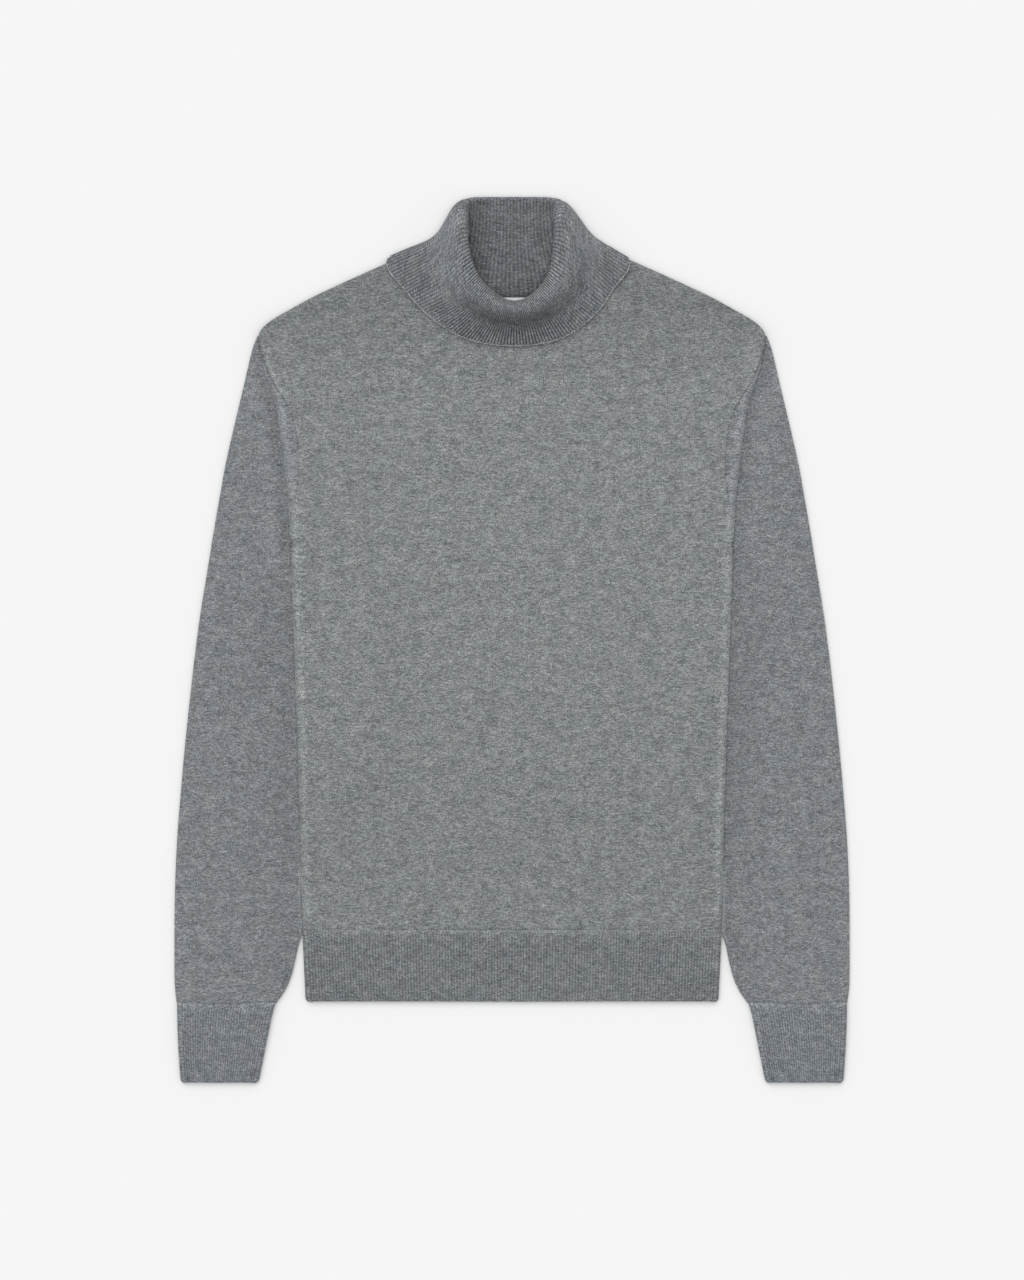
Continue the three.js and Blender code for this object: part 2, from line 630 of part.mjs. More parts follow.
function collar() {
  const guides = collarGuides();
  const lengths = [0];
  const samples = 720;
  const pace = (guide, k) => guide.getPoint(k / samples).distanceTo(guide.getPoint((k - 1) / samples));
  for (let k = 1; k <= samples; k++) lengths.push(lengths[k - 1] + pace(guides[2], k) + pace(guides[4], k));
  const even = (u) => {
    const target = (((u % 1) + 1) % 1) * lengths[samples];
    const next = Math.max(1, lengths.findIndex((length) => length >= target));
    return (next - 1 + (target - lengths[next - 1]) / (lengths[next] - lengths[next - 1])) / samples;
  };
  const point = (u, v) => {
    const section = guides.map((guide) => guide.getPoint(even(u)));
    const p = new THREE.CatmullRomCurve3(section, false, 'centripetal').getPoint(v);
    return p.setZ(Math.max(p.z, ribWall / 2));
  };
  const cells = Array.from({ length: collarRibs }, (_, k) => ({ u: k / collarRibs, ribs: 1 }));
  return ribbedTube(point, cells, collarRows);
}

function neckLabel() {
  const cloth = new Cloth();
  const { left, right, bottom, top, cells } = label;
  const rows = Array.from({ length: cells + 1 }, (_, j) => {
    const y = mix(bottom, top, j / cells);
    return Array.from({ length: cells + 1 }, (_, i) => {
      const x = mix(left, right, i / cells);
      return new THREE.Vector3(x, y, backHeight(x, y) + (jersey + labelWall) / 2 + 2 * halfGap);
    });
  });
  cloth.patch(rows);
  return cloth.wall(() => labelWall);
}

function piece(name, geometry, colour, roughness) {
  const material = new THREE.MeshStandardMaterial({ color: colour, roughness, metalness: 0 });
  const mesh = new THREE.Mesh(geometry, material);
  mesh.name = name;
  return mesh;
}

const greyKnit = 0x848789;
const sleeveGrey = 0x7d8184;
const hemGrey = 0x75787a;
const cuffGrey = 0x797d81;
const collarGrey = 0x696d70;
const labelWhite = 0xf2f2f0;

const group = new THREE.Group();
group.add(
  piece('front', frontPanel(), greyKnit, 0.9),
  piece('back', backPanel(), greyKnit, 0.9),
  piece('sleeve_left', sleeve(-1), sleeveGrey, 0.9),
  piece('sleeve_right', sleeve(1), sleeveGrey, 0.9),
  piece('cuff_left', cuff(-1), cuffGrey, 0.92),
  piece('cuff_right', cuff(1), cuffGrey, 0.92),
  piece('hem_rib', hemBand(), hemGrey, 0.92),
  piece('collar', collar(), collarGrey, 0.92),
  piece('neck_label', neckLabel(), labelWhite, 0.7),
);

export default group;
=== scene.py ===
"""A turtleneck sweater of fine grey knit, laid flat and seen from straight above."""
import math

import bpy
import numpy as np
from bpy.props import FloatProperty, FloatVectorProperty, IntProperty, PointerProperty
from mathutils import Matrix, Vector


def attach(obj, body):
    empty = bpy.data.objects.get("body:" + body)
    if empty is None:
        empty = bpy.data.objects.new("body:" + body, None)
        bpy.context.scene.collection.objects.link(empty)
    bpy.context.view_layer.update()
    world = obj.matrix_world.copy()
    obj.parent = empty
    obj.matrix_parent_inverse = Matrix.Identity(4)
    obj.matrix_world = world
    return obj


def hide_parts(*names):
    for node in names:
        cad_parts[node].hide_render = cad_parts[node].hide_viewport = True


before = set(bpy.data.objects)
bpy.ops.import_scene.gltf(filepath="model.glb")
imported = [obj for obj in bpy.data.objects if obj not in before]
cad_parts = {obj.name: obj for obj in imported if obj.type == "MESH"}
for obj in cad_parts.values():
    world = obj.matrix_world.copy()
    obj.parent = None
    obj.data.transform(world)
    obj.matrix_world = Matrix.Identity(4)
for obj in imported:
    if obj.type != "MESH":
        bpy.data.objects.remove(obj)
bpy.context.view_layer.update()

bl_info = {
    "name": "Turtleneck Sweater",
    "version": (1, 0, 0),
    "blender": (4, 5, 0),
    "location": "View3D > Sidebar > Sweater",
    "description": "Makes a flat-laid turtleneck sweater, piece by piece",
    "category": "Add Mesh",
}

BODY = "root"
MILLIMETRE = 0.001

# Walls and layers, in millimetres as all the tables below are
JERSEY = 1.4
RIB_WALL = 1.5
LABEL_WALL = 1.0
HALF_GAP = 0.12
LOWER_LAYER = JERSEY / 2
UPPER_LAYER = LOWER_LAYER + 1.9
CHEST_LEVEL = 3.4
DOUBLED_BACK = 1.1
PLEAT = 1.0

# How far a cut edge is rounded out, as a share of half the wall
RIM_SHARE = 0.8

# Where the panels rise over the folded side, and over the back of the collar
RISE_WIDTH = 50
RISE_INSET = 8
FOLD_CLEAR = 12
FRONT_NECK_RISE = 0.9
BACK_NECK_RISE = 1.5
NECK_RISE_Y = (270, 310)
NECK_RISE_X = (90, 130)

# Heights along the garment
SLEEVE_TOP = 277
SHOULDER_BASE = 270
CAP_TOP = 240
UNDERARM = 66
HEM_SEAM = -265
CUFF_SEAM = -331
ARMHOLE_Y = (122, 276)

# Rows and columns of the panels. A stretch of columns is its end and the step within it.
PANEL_STEP = 3.6
FRONT_COLUMNS = ((60, 3.8), (87, 1.6), (150, 4.2), (232, 1.5))
BACK_COLUMNS = ((60, 5.0), (87, 2.0), (170, 6.0), (222, 2.6))
BACK_INSET = {"cap": 4, "side": 6}

# How far inside the body's edge its upper face starts to round down, beyond the lower turn
SOFT_EDGE = 8

# The side of the garment by height y, in distances from the centre line. fold is the body's
# rounded edge and turn how deep it rounds. seam is how far the front's edge lies round that fold,
# along the cloth. tuck is the hidden fold from which the sleeve turns out, and outer the sleeve's
# outer edge. top and under are the heights of the front and of its part behind the fold, lift
# raises the back panel over them, and double says how much of the back lies doubled.
SIDE_COLUMNS = ("y", "fold", "seam", "tuck", "outer", "turn", "top", "under", "lift", "double")
FULL_FOLD = (5.0, 9.6, 4.6, 5.65, 1)
BELOW_HEM = (4.0, None, None, None, None)
SIDE_ROWS = (
    (300, 262.0, 1.7, 262.0, None, 1.6, 3.4, 4.6, 0, 0),
    (277, 231.8, 1.7, 228.6, 232.6, 1.4, 5.6, 3.9, 0, 0),
    (270, 231.0, 1.7, 226.0, 235.4, 1.6, 6.6, 4.6, 0, 0),
    (262, 229.2, 2.0, 220.0, 237.8, 2.0, 7.4, 4.6, 0, 0),
    (246, 225.8, -0.5, 207.0, 241.6, 3.0, 8.6, 4.6, 5.65, 0),
    (232, 221.4, -2.1, 197.0, 244.8, 4.0, 9.6, 4.6, 5.65, 1),
    (217, 215.9, -5.0, 186.0, 248.4, *FULL_FOLD),
    (190, 211.8, -9.5, 170.0, 254.8, *FULL_FOLD),
    (155, 207.2, -7.5, 155.0, 262.5, *FULL_FOLD),
    (128, 204.3, -3.0, 148.0, 267.2, *FULL_FOLD),
    (116, 203.6, -0.3, 145.0, 269.4, *FULL_FOLD),
    (104, 203.0, 5.0, 142.0, 271.4, *FULL_FOLD),
    (99, 202.8, 8.7, 141.4, 272.2, *FULL_FOLD),
    (93, 202.5, 14.0, 140.6, 273.3, *FULL_FOLD),
    (82, 202.0, 41.0, 139.0, 275.0, *FULL_FOLD),
    (66, 201.3, 64.2, 138.0, 277.6, *FULL_FOLD),
    (18, 199.6, 60.3, 144.0, 285.3, *FULL_FOLD),
    (-55, 196.9, 45.6, 156.0, 294.2, *FULL_FOLD),
    (-128, 194.6, 33.3, 171.0, 301.4, *FULL_FOLD),
    (-195, 192.8, 25.5, 190.0, 306.4, *FULL_FOLD),
    (-235, 192.4, 21.5, 192.7, 307.8, 4.5, 5.8, 1.1, 2.15, 1),
    (-265, 191.4, 16.5, 191.7, 308.1, 4.0, 4.6, 0.8, 1.85, 0.4),
    (-272, None, None, 193.6, 308.1, *BELOW_HEM),
    (-279, None, None, 195.8, 308.1, *BELOW_HEM),
    (-287, None, None, 197.4, 308.1, *BELOW_HEM),
    (-306, None, None, 202.0, 308.1, *BELOW_HEM),
    (-318, None, None, 206.9, 307.6, *BELOW_HEM),
    (-331, None, None, 215.6, 306.0, *BELOW_HEM),
)

# The shoulder edge from the neck outwards
SHOULDER = (
    (84, 356.5), (116, 342.6), (136, 333.7), (160, 322.8), (183, 311.8), (203, 300.8), (221, 289.9),
    (227, 284.4), (230.5, 278.9),
)
COLLAR_INSET = 5
COLLAR_REACH = (92, 103)
SHOULDER_DROP = 1.3
SHOULDER_ROUNDING = 6.0
BACK_SHOULDER_INSET = 3

# The sleeve's air starts beyond the body's fold and is full at a height. Its ridge lies nearer the
# body above the elbow than below.
PUFF_START = 3
PUFF_FULL = 180
PUFF_POWER = 0.9
PUFF_SKEW = (1.15, 0.68)
PUFF_SKEW_Y = (-60, 160)

# How high the sleeve nestles against the body's fold, and where that begins and fades
NESTLE = 2.6
NESTLE_START = (-4, 1.5)
NESTLE_REACH = 4.0
NESTLE_TOP = (SHOULDER_BASE, CAP_TOP)
NESTLE_BOTTOM = (HEM_SEAM - 8, HEM_SEAM + 4)

# The sleeve's rows and columns, and how much of the side's turn its outer edge takes
SLEEVE_STEP = 3.4
SLEEVE_COLUMNS = {"wrapped": 56, "hidden": 9, "shown": 52, "turn": 13, "below": 21, "pleat": 9}
SHOWN_POWER = 1.15
SHOWN_START = 4
OUTER_TURN = 0.8

# The hem and cuffs: their sides by height, and the height of the upper face along them
HEM_EDGES = ((-265.25, -191.2, 191.2), (-283, -190.4, 190.4), (-330, -188.2, 188.2))
CUFF_EDGES = (
    (-331.25, 215.7, 305.6), (-338, 217.9, 305.5), (-352, 221.0, 305.2), (-370, 224.6, 304.5),
    (-404, 231.4, 302.2),
)
HEM_LEVEL = (3.9, 3.3)
CUFF_LEVEL = (4.4, 3.4)
HEM_SETTLES = 0.6
CUFF_SETTLES = 1.0
BAND_ROUNDING = 3.0
CORNER = 3.0
END_ROUNDING = 0.35
EDGE_DROOP = 0.5

# Columns of a ribbed tube, its rows from seam to edge, and its last rows as shares of the corner
COLUMNS_PER_RIB = 6
SIDE_ARC_COLUMNS = 10
SIDE_ARC_RIBS = 2
UNDERSIDE_COLUMNS = 36
BAND_ROWS = (0, 0.02, 0.06, 0.15, 0.3, 0.45, 0.6, 0.75, 0.87, 0.94)
CORNER_ROWS = (1, 0.6, 0.3, 0.1, 0)

# The relief of a band at its seam, which is full a little below, and the tones at seam and edges
SEAM_RELIEF = 0.45
SEAM_RELIEF_ROWS = (0, 0.09)
BAND_SEAM_TONE = 0.16
BAND_SEAM_WIDTH = 3.5
BAND_EDGE_TONE = -0.11
BAND_EDGE_ROWS = (0.3, 1)

# The folded collar, station by station from the back of the neck round the left side to the
# front. seam joins the neck, stand is the upright part, lip the edge of the opening, crest the
# top of the roll, fall the turned-down part and edge its free end.
COLLAR_GUIDES = ("seam", "stand", "lip", "crest", "fall", "edge")
COLLAR_STATIONS = (
    ((0, 312.4, 2.4), (0, 358, 3.3), (0, 400, 3.3),
     (0, 403.4, 2.1), (0, 360, 0.75), (0, 320, 0.75)),
    ((30, 316.4, 2.4), (23, 360, 3.3), (21, 400, 3.3),
     (21, 403.4, 2.1), (28, 362, 0.75), (31, 324, 0.75)),
    ((54, 327.4, 2.4), (41, 364, 3.3), (36, 398.6, 3.3),
     (37, 403.0, 2.1), (48, 366, 0.75), (56, 337, 0.75)),
    ((72, 340.6, 2.6), (53, 369, 3.4), (38.5, 397, 3.5),
     (46, 400.4, 2.3), (62, 371, 0.75), (82, 357, 0.75)),
    ((83, 350.6, 3.6), (57, 371, 4.5), (39.8, 393, 5.0),
     (50, 396.4, 4.6), (71.5, 367.2, 3.4), (113.5, 347, 3.2)),
    ((83.5, 340, 4.6), (54, 365, 5.8), (40.2, 384, 7.6),
     (46.5, 387, 9.6), (70, 359, 8.2), (112, 337.6, 6.4)),
    ((79, 322, 4.6), (47, 348, 5.8), (40.0, 360, 8.4),
     (46.6, 357, 13.0), (69, 338, 9.0), (98.6, 321, 6.2)),
    ((65, 301, 4.6), (39, 326, 5.8), (33.0, 333, 9.2),
     (38.6, 327, 16.4), (56, 311, 9.4), (80.5, 299, 6.0)),
    ((38, 283, 4.6), (22, 309.5, 5.8), (17.0, 314.6, 10),
     (21, 308.4, 19.0), (31, 293, 9.4), (46.5, 276.2, 5.8)),
    ((0, 277.4, 4.6), (0, 301, 5.8), (0, 308.2, 10),
     (0, 301.8, 20.0), (0, 287, 9.4), (0, 268.6, 5.8)),
)
RIGHT_COLLAR_SHRINK = (1, 0.95, 0.965, 0.985, 1.05, 0.94)
FRONT_SHIFT = 2.5
FRONT_SHIFT_Y = (360, 300)
COLLAR_CELLS = (8, 10, 12, 14, 14)
FRONT_STATIONS = 5
NECK_SAMPLES = 1441

# Stations between which the side of the collar turns from the back to the front
COLLAR_TURN = (3, 5)

LABEL = {"left": -9.5, "right": 13.5, "bottom": 294, "top": 311.9}
LABEL_COLUMNS = 14
LABEL_ROWS = 12

# Soft creases, each with its middle in x and y, the way it runs in degrees, its length and width,
# and its height, which is negative for a trough. The front's come first, then the left sleeve's.
FRONT_CREASES = (
    (-172, 96, 62, 120, 15, -0.8),
    (168, 90, 118, 104, 17, -0.7),
    (-150, 132, 55, 84, 12, 0.5),
    (146, 140, 128, 96, 13, 0.5),
    (-92, 282, 35, 90, 16, 0.6),
    (104, 276, 146, 76, 15, 0.5),
    (-128, 246, 40, 60, 11, -0.5),
    (128, -186, 84, 110, 18, -0.9),
    (-60, -120, 96, 150, 26, 0.5),
    (38, -40, 80, 180, 30, -0.45),
    (-112, -30, 100, 130, 24, -0.45),
    (92, 60, 98, 140, 26, 0.45),
    (6, 170, 4, 120, 22, -0.4),
    (-38, 210, 172, 90, 18, 0.35),
    (56, -232, 8, 90, 14, -0.4),
    (-120, -238, 176, 76, 12, -0.45),
)
SLEEVE_CREASES = (
    (-226, 196, 78, 110, 7, 0.7),
    (-236, 120, 80, 90, 8, -0.7),
    (-252, 40, 62, 70, 10, 0.9),
    (-246, 4, 48, 64, 9, -0.9),
    (-262, -36, 58, 74, 11, 0.8),
    (-240, -82, 84, 110, 13, -0.8),
    (-268, -140, 92, 120, 14, 0.7),
    (-226, -206, 80, 90, 12, -0.9),
    (-262, -262, 70, 60, 10, 0.7),
    (-244, -300, 82, 60, 8, -0.8),
    (-270, -312, 94, 44, 8, 0.6),
)
CREASE_BOW = 0.12

# Where the creases die away: inside the body's fold and above the hem, and between the edges of
# the sleeve and above the cuff
FRONT_CALM = {"fold": (14, 30), "hem": (HEM_SEAM, HEM_SEAM + 30)}
SLEEVE_CALM = {"inner": (6, 18), "outer": (0, 16), "cuff": (CUFF_SEAM, CUFF_SEAM + 20)}

# Bands of painted light and shade on the panels. A row has the band's strength, its middle and its
# width, and the heights over which it comes in. The first are laid by the distance inside the body's
# fold: a painted highlight along the fold, painted shade and a painted highlight on the sleeve beside
# it, and painted light in the crevice low down. The others are laid by the distance from the armhole
# seam: darker on the seam and lighter just beside it.
FOLD_PAINTED_LIGHT = (
    (0.27, 4.6, 3.0, (270, 228), (HEM_SEAM, HEM_SEAM + 25)),
    (-0.08, -7, 4, (30, 90)),
    (0.08, -17, 6, (30, 90)),
    (-0.07, -10, 20, (90, 30)),
    (0.3, -1.2, 1.8, (-190, -235)),
)
ARMHOLE_TONES = (
    (-0.3, 0.0, 1.0, (208, 226), (284, 272)),
    (0.14, 2.6, 1.1, (208, 226), (284, 272)),
)

# Broad painted shade on the shoulders and the lower body, with the heights over which it comes in, and a
# painted pool of soft light on the chest
BODY_SHADES = ((-0.15, (215, 320)), (-0.05, (-20, -180)))
BODY_SHADES_END = -2
CHEST_LIGHT = 0.02
CHEST_MIDDLE = 120
CHEST_REACH = (150, 160)

# Painted light and shade of the collar. Inside the opening it has painted shade, most of all on the left
# and in the right corner, and the crest, the rim and the sides carry painted highlights. A place counts
# guides on from the seam, so the lip is at 2 and the crest at 3, and a band has its strength, place and
# width.
COLLAR_SIDE_X = (12, 45)
INSIDE_PLACES = (2.0, 2.5)
INSIDE_SHADE = 0.2
INSIDE_LEFT = (0.26, (14, 38))
INSIDE_RIGHT = (0.02, (24, 36))
INSIDE_CORNER = (0.16, (385, 398))
CREST_HIGHLIGHT = (0.4, 2.9, 0.38)
CREST_HIGHLIGHT_Y = (370, 310)
RIM_HIGHLIGHT = (0.16, 2.65, 0.4)
SHINE_BAND = (3.45, 0.4)
SHINE_SIDES = (0.1, 0.02)
SHINE_Y = (330, 375)

# The painted shade of the valley behind the roll: its place, depth and widths, and how far round it reaches
VALLEY_PLACE = 3.8
VALLEY_SHADE = 0.5
VALLEY_SIDES = (0.22, 0.08)
VALLEY_WIDTHS = {"roll": 0.4, "front": 0.55, "side": 0.42}
VALLEY_REACH = {"left": 345, "right": 392, "front": 306}

# Depth of the collar's ribs and of their painted furrow shade: more on the front's rim and on the fall, less
# where it is pressed flat
PRESSED_RIBS = 0.6
PRESSED_X = (30, 60)
PRESSED_ROWS = ((0.5, 0.6), (0.75, 0.88))
RIM_RIBS = (0.9, 2.7, 0.5)
RIM_RIBS_Y = (375, 330)
FALL_RIBS = 0.75
FALL_PLACES = (4.0, 4.4)
FALL_SIDE = 0.9
FALL_SIDE_X = (35, 75)
INSIDE_RIBS = 0.2
INSIDE_RIBS_PLACES = (1.8, 2.3)
LYING_PLACE = 3.2
LYING_HEIGHTS = (0.8, 2.2)

# How far the stitches of the binding lie outside the edge, how deep those of each seam are sunk,
# and the height from which the collar's edge lies on the front
BINDING_OUT = 0.35
SUNK = {"binding": 0.1, "armhole": 0.12, "hem": 0.1, "cuff": 0.15}
SHOWN_EDGE = 3.4
HEM_LINE = {"end": 187, "points": 150}
CUFF_LINE = {"inset": 3, "points": 40}

# Stitches in metres, but for the pitch, which is a share of the pitch in the settings
STITCHES = {
    "bound": {"Pitch": 0.8, "Length": 0.0011, "Width": 0.0006, "Height": 0.00045, "Slant": 0.25},
    "flush": {"Pitch": 0.7, "Length": 0.00075, "Width": 0.0004, "Height": 0.00022, "Slant": 0.5},
    "short": {"Pitch": 1.27, "Length": 0.0006, "Width": 0.0011, "Height": 0.00045, "Slant": 0.0},
}
STITCH_SEGMENTS = 8
STITCH_RINGS = 5

# How bright each seam's yarn is beside the body's. The binding and linking yarns are lighter, a
# painted highlight on their raised stitches, and the sunken yarn is darker.
YARN_SHADES = {"highlit_binding_yarn": 1.75, "highlit_linking_yarn": 1.35, "sunken_yarn": 0.62}

# Heathered yarn: its flecks, grain and clouds, warm patches, and the curve of its brightness
MELANGE = {
    "Row Height": 0.0015, "Fleck Length": 0.0034, "Fleck Contrast": 1.6, "Grain Contrast": 2.5,
    "Cloud Contrast": 0.8,
}
FLECK_SLICE = 3.7
GRAIN_SCALE = 820.0
CLOUD_SCALE = (85.0, 130.0)
CLOUD_SLICE = 8.1
PATCH_SCALE = 60.0
PATCH_CONTRAST = 0.4
PATCH_TINT = 0.15
MEAN_TONE = 0.98
BRIGHT_TAIL = 0.35
DARKEST = 0.25

# Ribs and plain knit: shape of the crest, depth of the furrow's shade, and heights of the bump
RIB_POWER = 0.7
RIB_MIDDLE = 0.35
BAND_FURROW = 0.62
COLLAR_FURROW = 0.45
RIB_COURSE = 0.0013
RIB_COURSE_SHARE = 0.2
KNIT_WOBBLE_SCALE = 160.0
KNIT_WOBBLE = 0.5
LEG_POWER = 0.5
COURSE_POWER = 0.6
RIB_BUMP = 0.00012
KNIT_BUMP = 0.00025
BUMP_STRENGTH = 0.6

# The label's weave
TAPE_PITCH = 0.0004
TAPE_BUMP = 0.00005
TAPE_CLOUD_SCALE = 700.0
TAPE_TONE = (0.94, 0.08)

KNIT_LOOKS = {"Roughness": 0.92, "Specular IOR Level": 0.12, "Sheen Weight": 0.45, "Sheen Roughness": 0.45}
TAPE_LOOKS = {"Roughness": 0.6}
SURFACE_LOOKS = {"Roughness": 1.0, "Specular IOR Level": 0.0}

# The stage, in metres
SURFACE_REACH = 6.0
SURFACE_DROP = 0.0002
SENSOR = 36.0
CLIP_END = 20.0


def length(name, description, default, low=0.0):
    return FloatProperty(name=name, description=description, default=default, min=low, unit="LENGTH")


def number(name, description, default):
    return IntProperty(name=name, description=description, default=default, min=1)


def strength(name, description, default):
    return FloatProperty(name=name, description=description, default=default, min=0)


def colour(name, description, default):
    return FloatVectorProperty(
        name=name, description=description, default=default, min=0, max=1, subtype="COLOR",
    )


class SweaterSizes(bpy.types.PropertyGroup):
    """Sizes of the knit that may be changed without a new cut."""

    rib_depth: length("Rib depth", "How deep the furrows between the ribs are", 0.00062)
    hem_ribs: number("Hem ribs", "Ribs across the front of the hem", 141)
    cuff_ribs: number("Cuff ribs", "Ribs across one side of a cuff", 33)
    collar_ribs: number("Collar ribs", "Ribs round the collar", 128)
    rib_pitch: length("Rib pitch", "Width of one rib and its furrow on the flat bands", 0.0027, 0.001)
    wale: length("Wale", "Width of one column of stitches", 0.0016, 0.0005)
    course: length("Course", "Height of one row of stitches", 0.0012, 0.0005)
    sleeve_puff: length("Sleeve puff", "Height of the air in the sleeves", 0.0036)
    stitch_pitch: length("Stitch pitch", "Distance between two linking stitches", 0.0021, 0.001)


class SweaterColours(bpy.types.PropertyGroup):
    """Colours of the yarn, the label and the surface that the sweater lies on."""

    body: colour("Body", "Mean colour of the front and back", (0.232, 0.246, 0.251))
    sleeve: colour("Sleeves", "Mean colour of the sleeves", (0.212, 0.224, 0.236))
    cuff: colour("Cuffs", "Mean colour of the cuffs", (0.224, 0.240, 0.256))
    hem: colour("Hem", "Mean colour of the hem rib", (0.203, 0.217, 0.225))
    collar: colour("Collar", "Mean colour of the collar", (0.197, 0.209, 0.222))
    label: colour("Label", "Colour of the bare woven label", (0.86, 0.86, 0.85))
    surface: colour("Surface", "Colour of the pale surface below", (0.92, 0.92, 0.92))


class StudioSettings(bpy.types.PropertyGroup):
    """The camera and the soft light."""

    camera_height: length("Camera height", "Height of the camera above the surface", 4.0, 1.0)
    view_height: length("View height", "Length of the surface that the picture takes in", 1.1686, 0.1)
    sky: strength("Sky", "Strength of the even light from all round", 0.80)
    key: strength("Key", "Strength of the soft light from above", 0.85)
    key_from: FloatVectorProperty(
        name="Key from", description="Where the soft light comes from", default=(-0.9, 2.0, 2.4),
        unit="LENGTH",
    )
    key_softness: FloatProperty(
        name="Key softness", description="Angle that the soft light fills", default=0.9, min=0,
        subtype="ANGLE", unit="ROTATION",
    )


def mix(a, b, t):
    return a + (b - a) * t


def ease(start, end, value):
    t = np.clip((value - start) / (end - start), 0, 1)
    return t * t * (3 - 2 * t)


def bell(value, middle, width):
    """A soft bump, 1 at its middle and next to nothing beyond twice its width."""
    return np.exp(-(((value - middle) / width) ** 2))


def stacked(*parts):
    """Coordinates joined as the last axis, each spread to the others' shape first."""
    return np.stack(np.broadcast_arrays(*parts), -1)


def unit(vectors):
    return vectors / np.maximum(np.linalg.norm(vectors, axis=-1, keepdims=True), 1e-9)


def spaced(*stretches):
    """Numbers from 0 on, with an own step in each stretch. A stretch is its end and its step."""
    values = [0.0]
    for end, step in stretches:
        start = values[-1]
        count = max(1, round((end - start) / step))
        values.extend(start + (end - start) * (k + 1) / count for k in range(count))
    return np.array(values)


def follow(keys, values, at):
    """Reads a table smoothly, with no overshoot between its rows."""
    keys = np.asarray(keys, float)
    values = np.asarray(values, float)
    at = np.clip(np.asarray(at, float), keys[0], keys[-1])
    steps = np.diff(keys)
    rises = np.diff(values) / steps
    before, after = rises[:-1], rises[1:]
    same_way = before * after > 0
    early = 2 * steps[1:] + steps[:-1]
    late = steps[1:] + 2 * steps[:-1]
    safe_before = np.where(same_way, before, 1)
    safe_after = np.where(same_way, after, 1)
    slopes = np.zeros_like(values)
    slopes[1:-1] = np.where(same_way, (early + late) / (early / safe_before + late / safe_after), 0)
    slopes[0], slopes[-1] = rises[0], rises[-1]
    i = np.clip(np.searchsorted(keys, at) - 1, 0, len(keys) - 2)
    h = steps[i]
    t = (at - keys[i]) / h
    left = (1 + 2 * t) * (1 - t) ** 2 * values[i] + t * (1 - t) ** 2 * h * slopes[i]
    right = t * t * (3 - 2 * t) * values[i + 1] + t * t * (t - 1) * h * slopes[i + 1]
    return left + right


def side(column, y):
    """One column of the side table at any heights. fold and outer give the middle of the cloth."""
    index = SIDE_COLUMNS.index(column)
    rows = sorted((row[0], row[index]) for row in SIDE_ROWS if row[index] is not None)
    inside = JERSEY / 2 if column in ("fold", "outer") else 0
    return follow(*zip(*rows), y) - inside


def raised(x, y):
    """How far a point lies on the raised side of the body, from 0 in the middle to 1 at the fold."""
    inner = np.minimum(side("tuck", y), side("fold", y) - FOLD_CLEAR) - RISE_INSET
    return ease(inner - RISE_WIDTH, inner, np.abs(x))


def neck_rise(x, y):
    return ease(*NECK_RISE_Y, y) * (1 - ease(*NECK_RISE_X, np.abs(x)))


def creases(table, x, y, mirror=1):
    """Height that the soft creases of a table add at each point."""
    height = np.zeros(np.broadcast(x, y).shape)
    for middle_x, middle_y, degrees, reach, width, rise in table:
        way = math.radians(degrees)
        dx = mirror * x - middle_x
        dy = y - middle_y
        along = dx * math.cos(way) + dy * math.sin(way)
        bow = CREASE_BOW * along * along / reach
        across = -dx * math.sin(way) + dy * math.cos(way) + bow
        fade = np.clip(1 - (2 * along / reach) ** 2, 0, 1) ** 2
        height = height + rise * fade * bell(across, 0, width)
    return height


def front_height(x, y):
    level = mix(CHEST_LEVEL + FRONT_NECK_RISE * neck_rise(x, y), side("top", y), raised(x, y))
    calm = ease(*FRONT_CALM["fold"], side("fold", y) - np.abs(x)) * ease(*FRONT_CALM["hem"], y)
    return level + creases(FRONT_CREASES, x, y) * calm


def back_wall(x, y):
    return JERSEY + DOUBLED_BACK * raised(x, y) * side("double", y)


def back_height(x, y):
    return mix(BACK_NECK_RISE * neck_rise(x, y), side("lift", y), raised(x, y)) + back_wall(x, y) / 2


def bands(table, distance, y):
    """The sum of a table's soft bands of tone."""
    tone = 0
    for depth, middle, width, *fades in table:
        band = depth * bell(distance, middle, width)
        for heights in fades:
            band = band * ease(*heights, y)
        tone = tone + band
    return tone


def panel_painted_light_and_seam_tone(points):
    """Painted light and shade of the panels: a painted highlight on the fold with painted shade beside it,
    darker along the armhole seam, painted shade on the shoulders and a painted pool of light on the chest.
    """
    x, y = np.abs(points[:, 0]), points[:, 1]
    inside = side("fold", y) - x
    from_seam = np.abs(x - np.interp(y, *armhole_table()))
    tone = bands(FOLD_PAINTED_LIGHT, inside, y) + bands(ARMHOLE_TONES, from_seam, y)
    for depth, heights in BODY_SHADES:
        tone = tone + depth * ease(*heights, y) * (inside > BODY_SHADES_END)
    return tone + CHEST_LIGHT * bell(x, 0, CHEST_REACH[0]) * bell(y, CHEST_MIDDLE, CHEST_REACH[1])


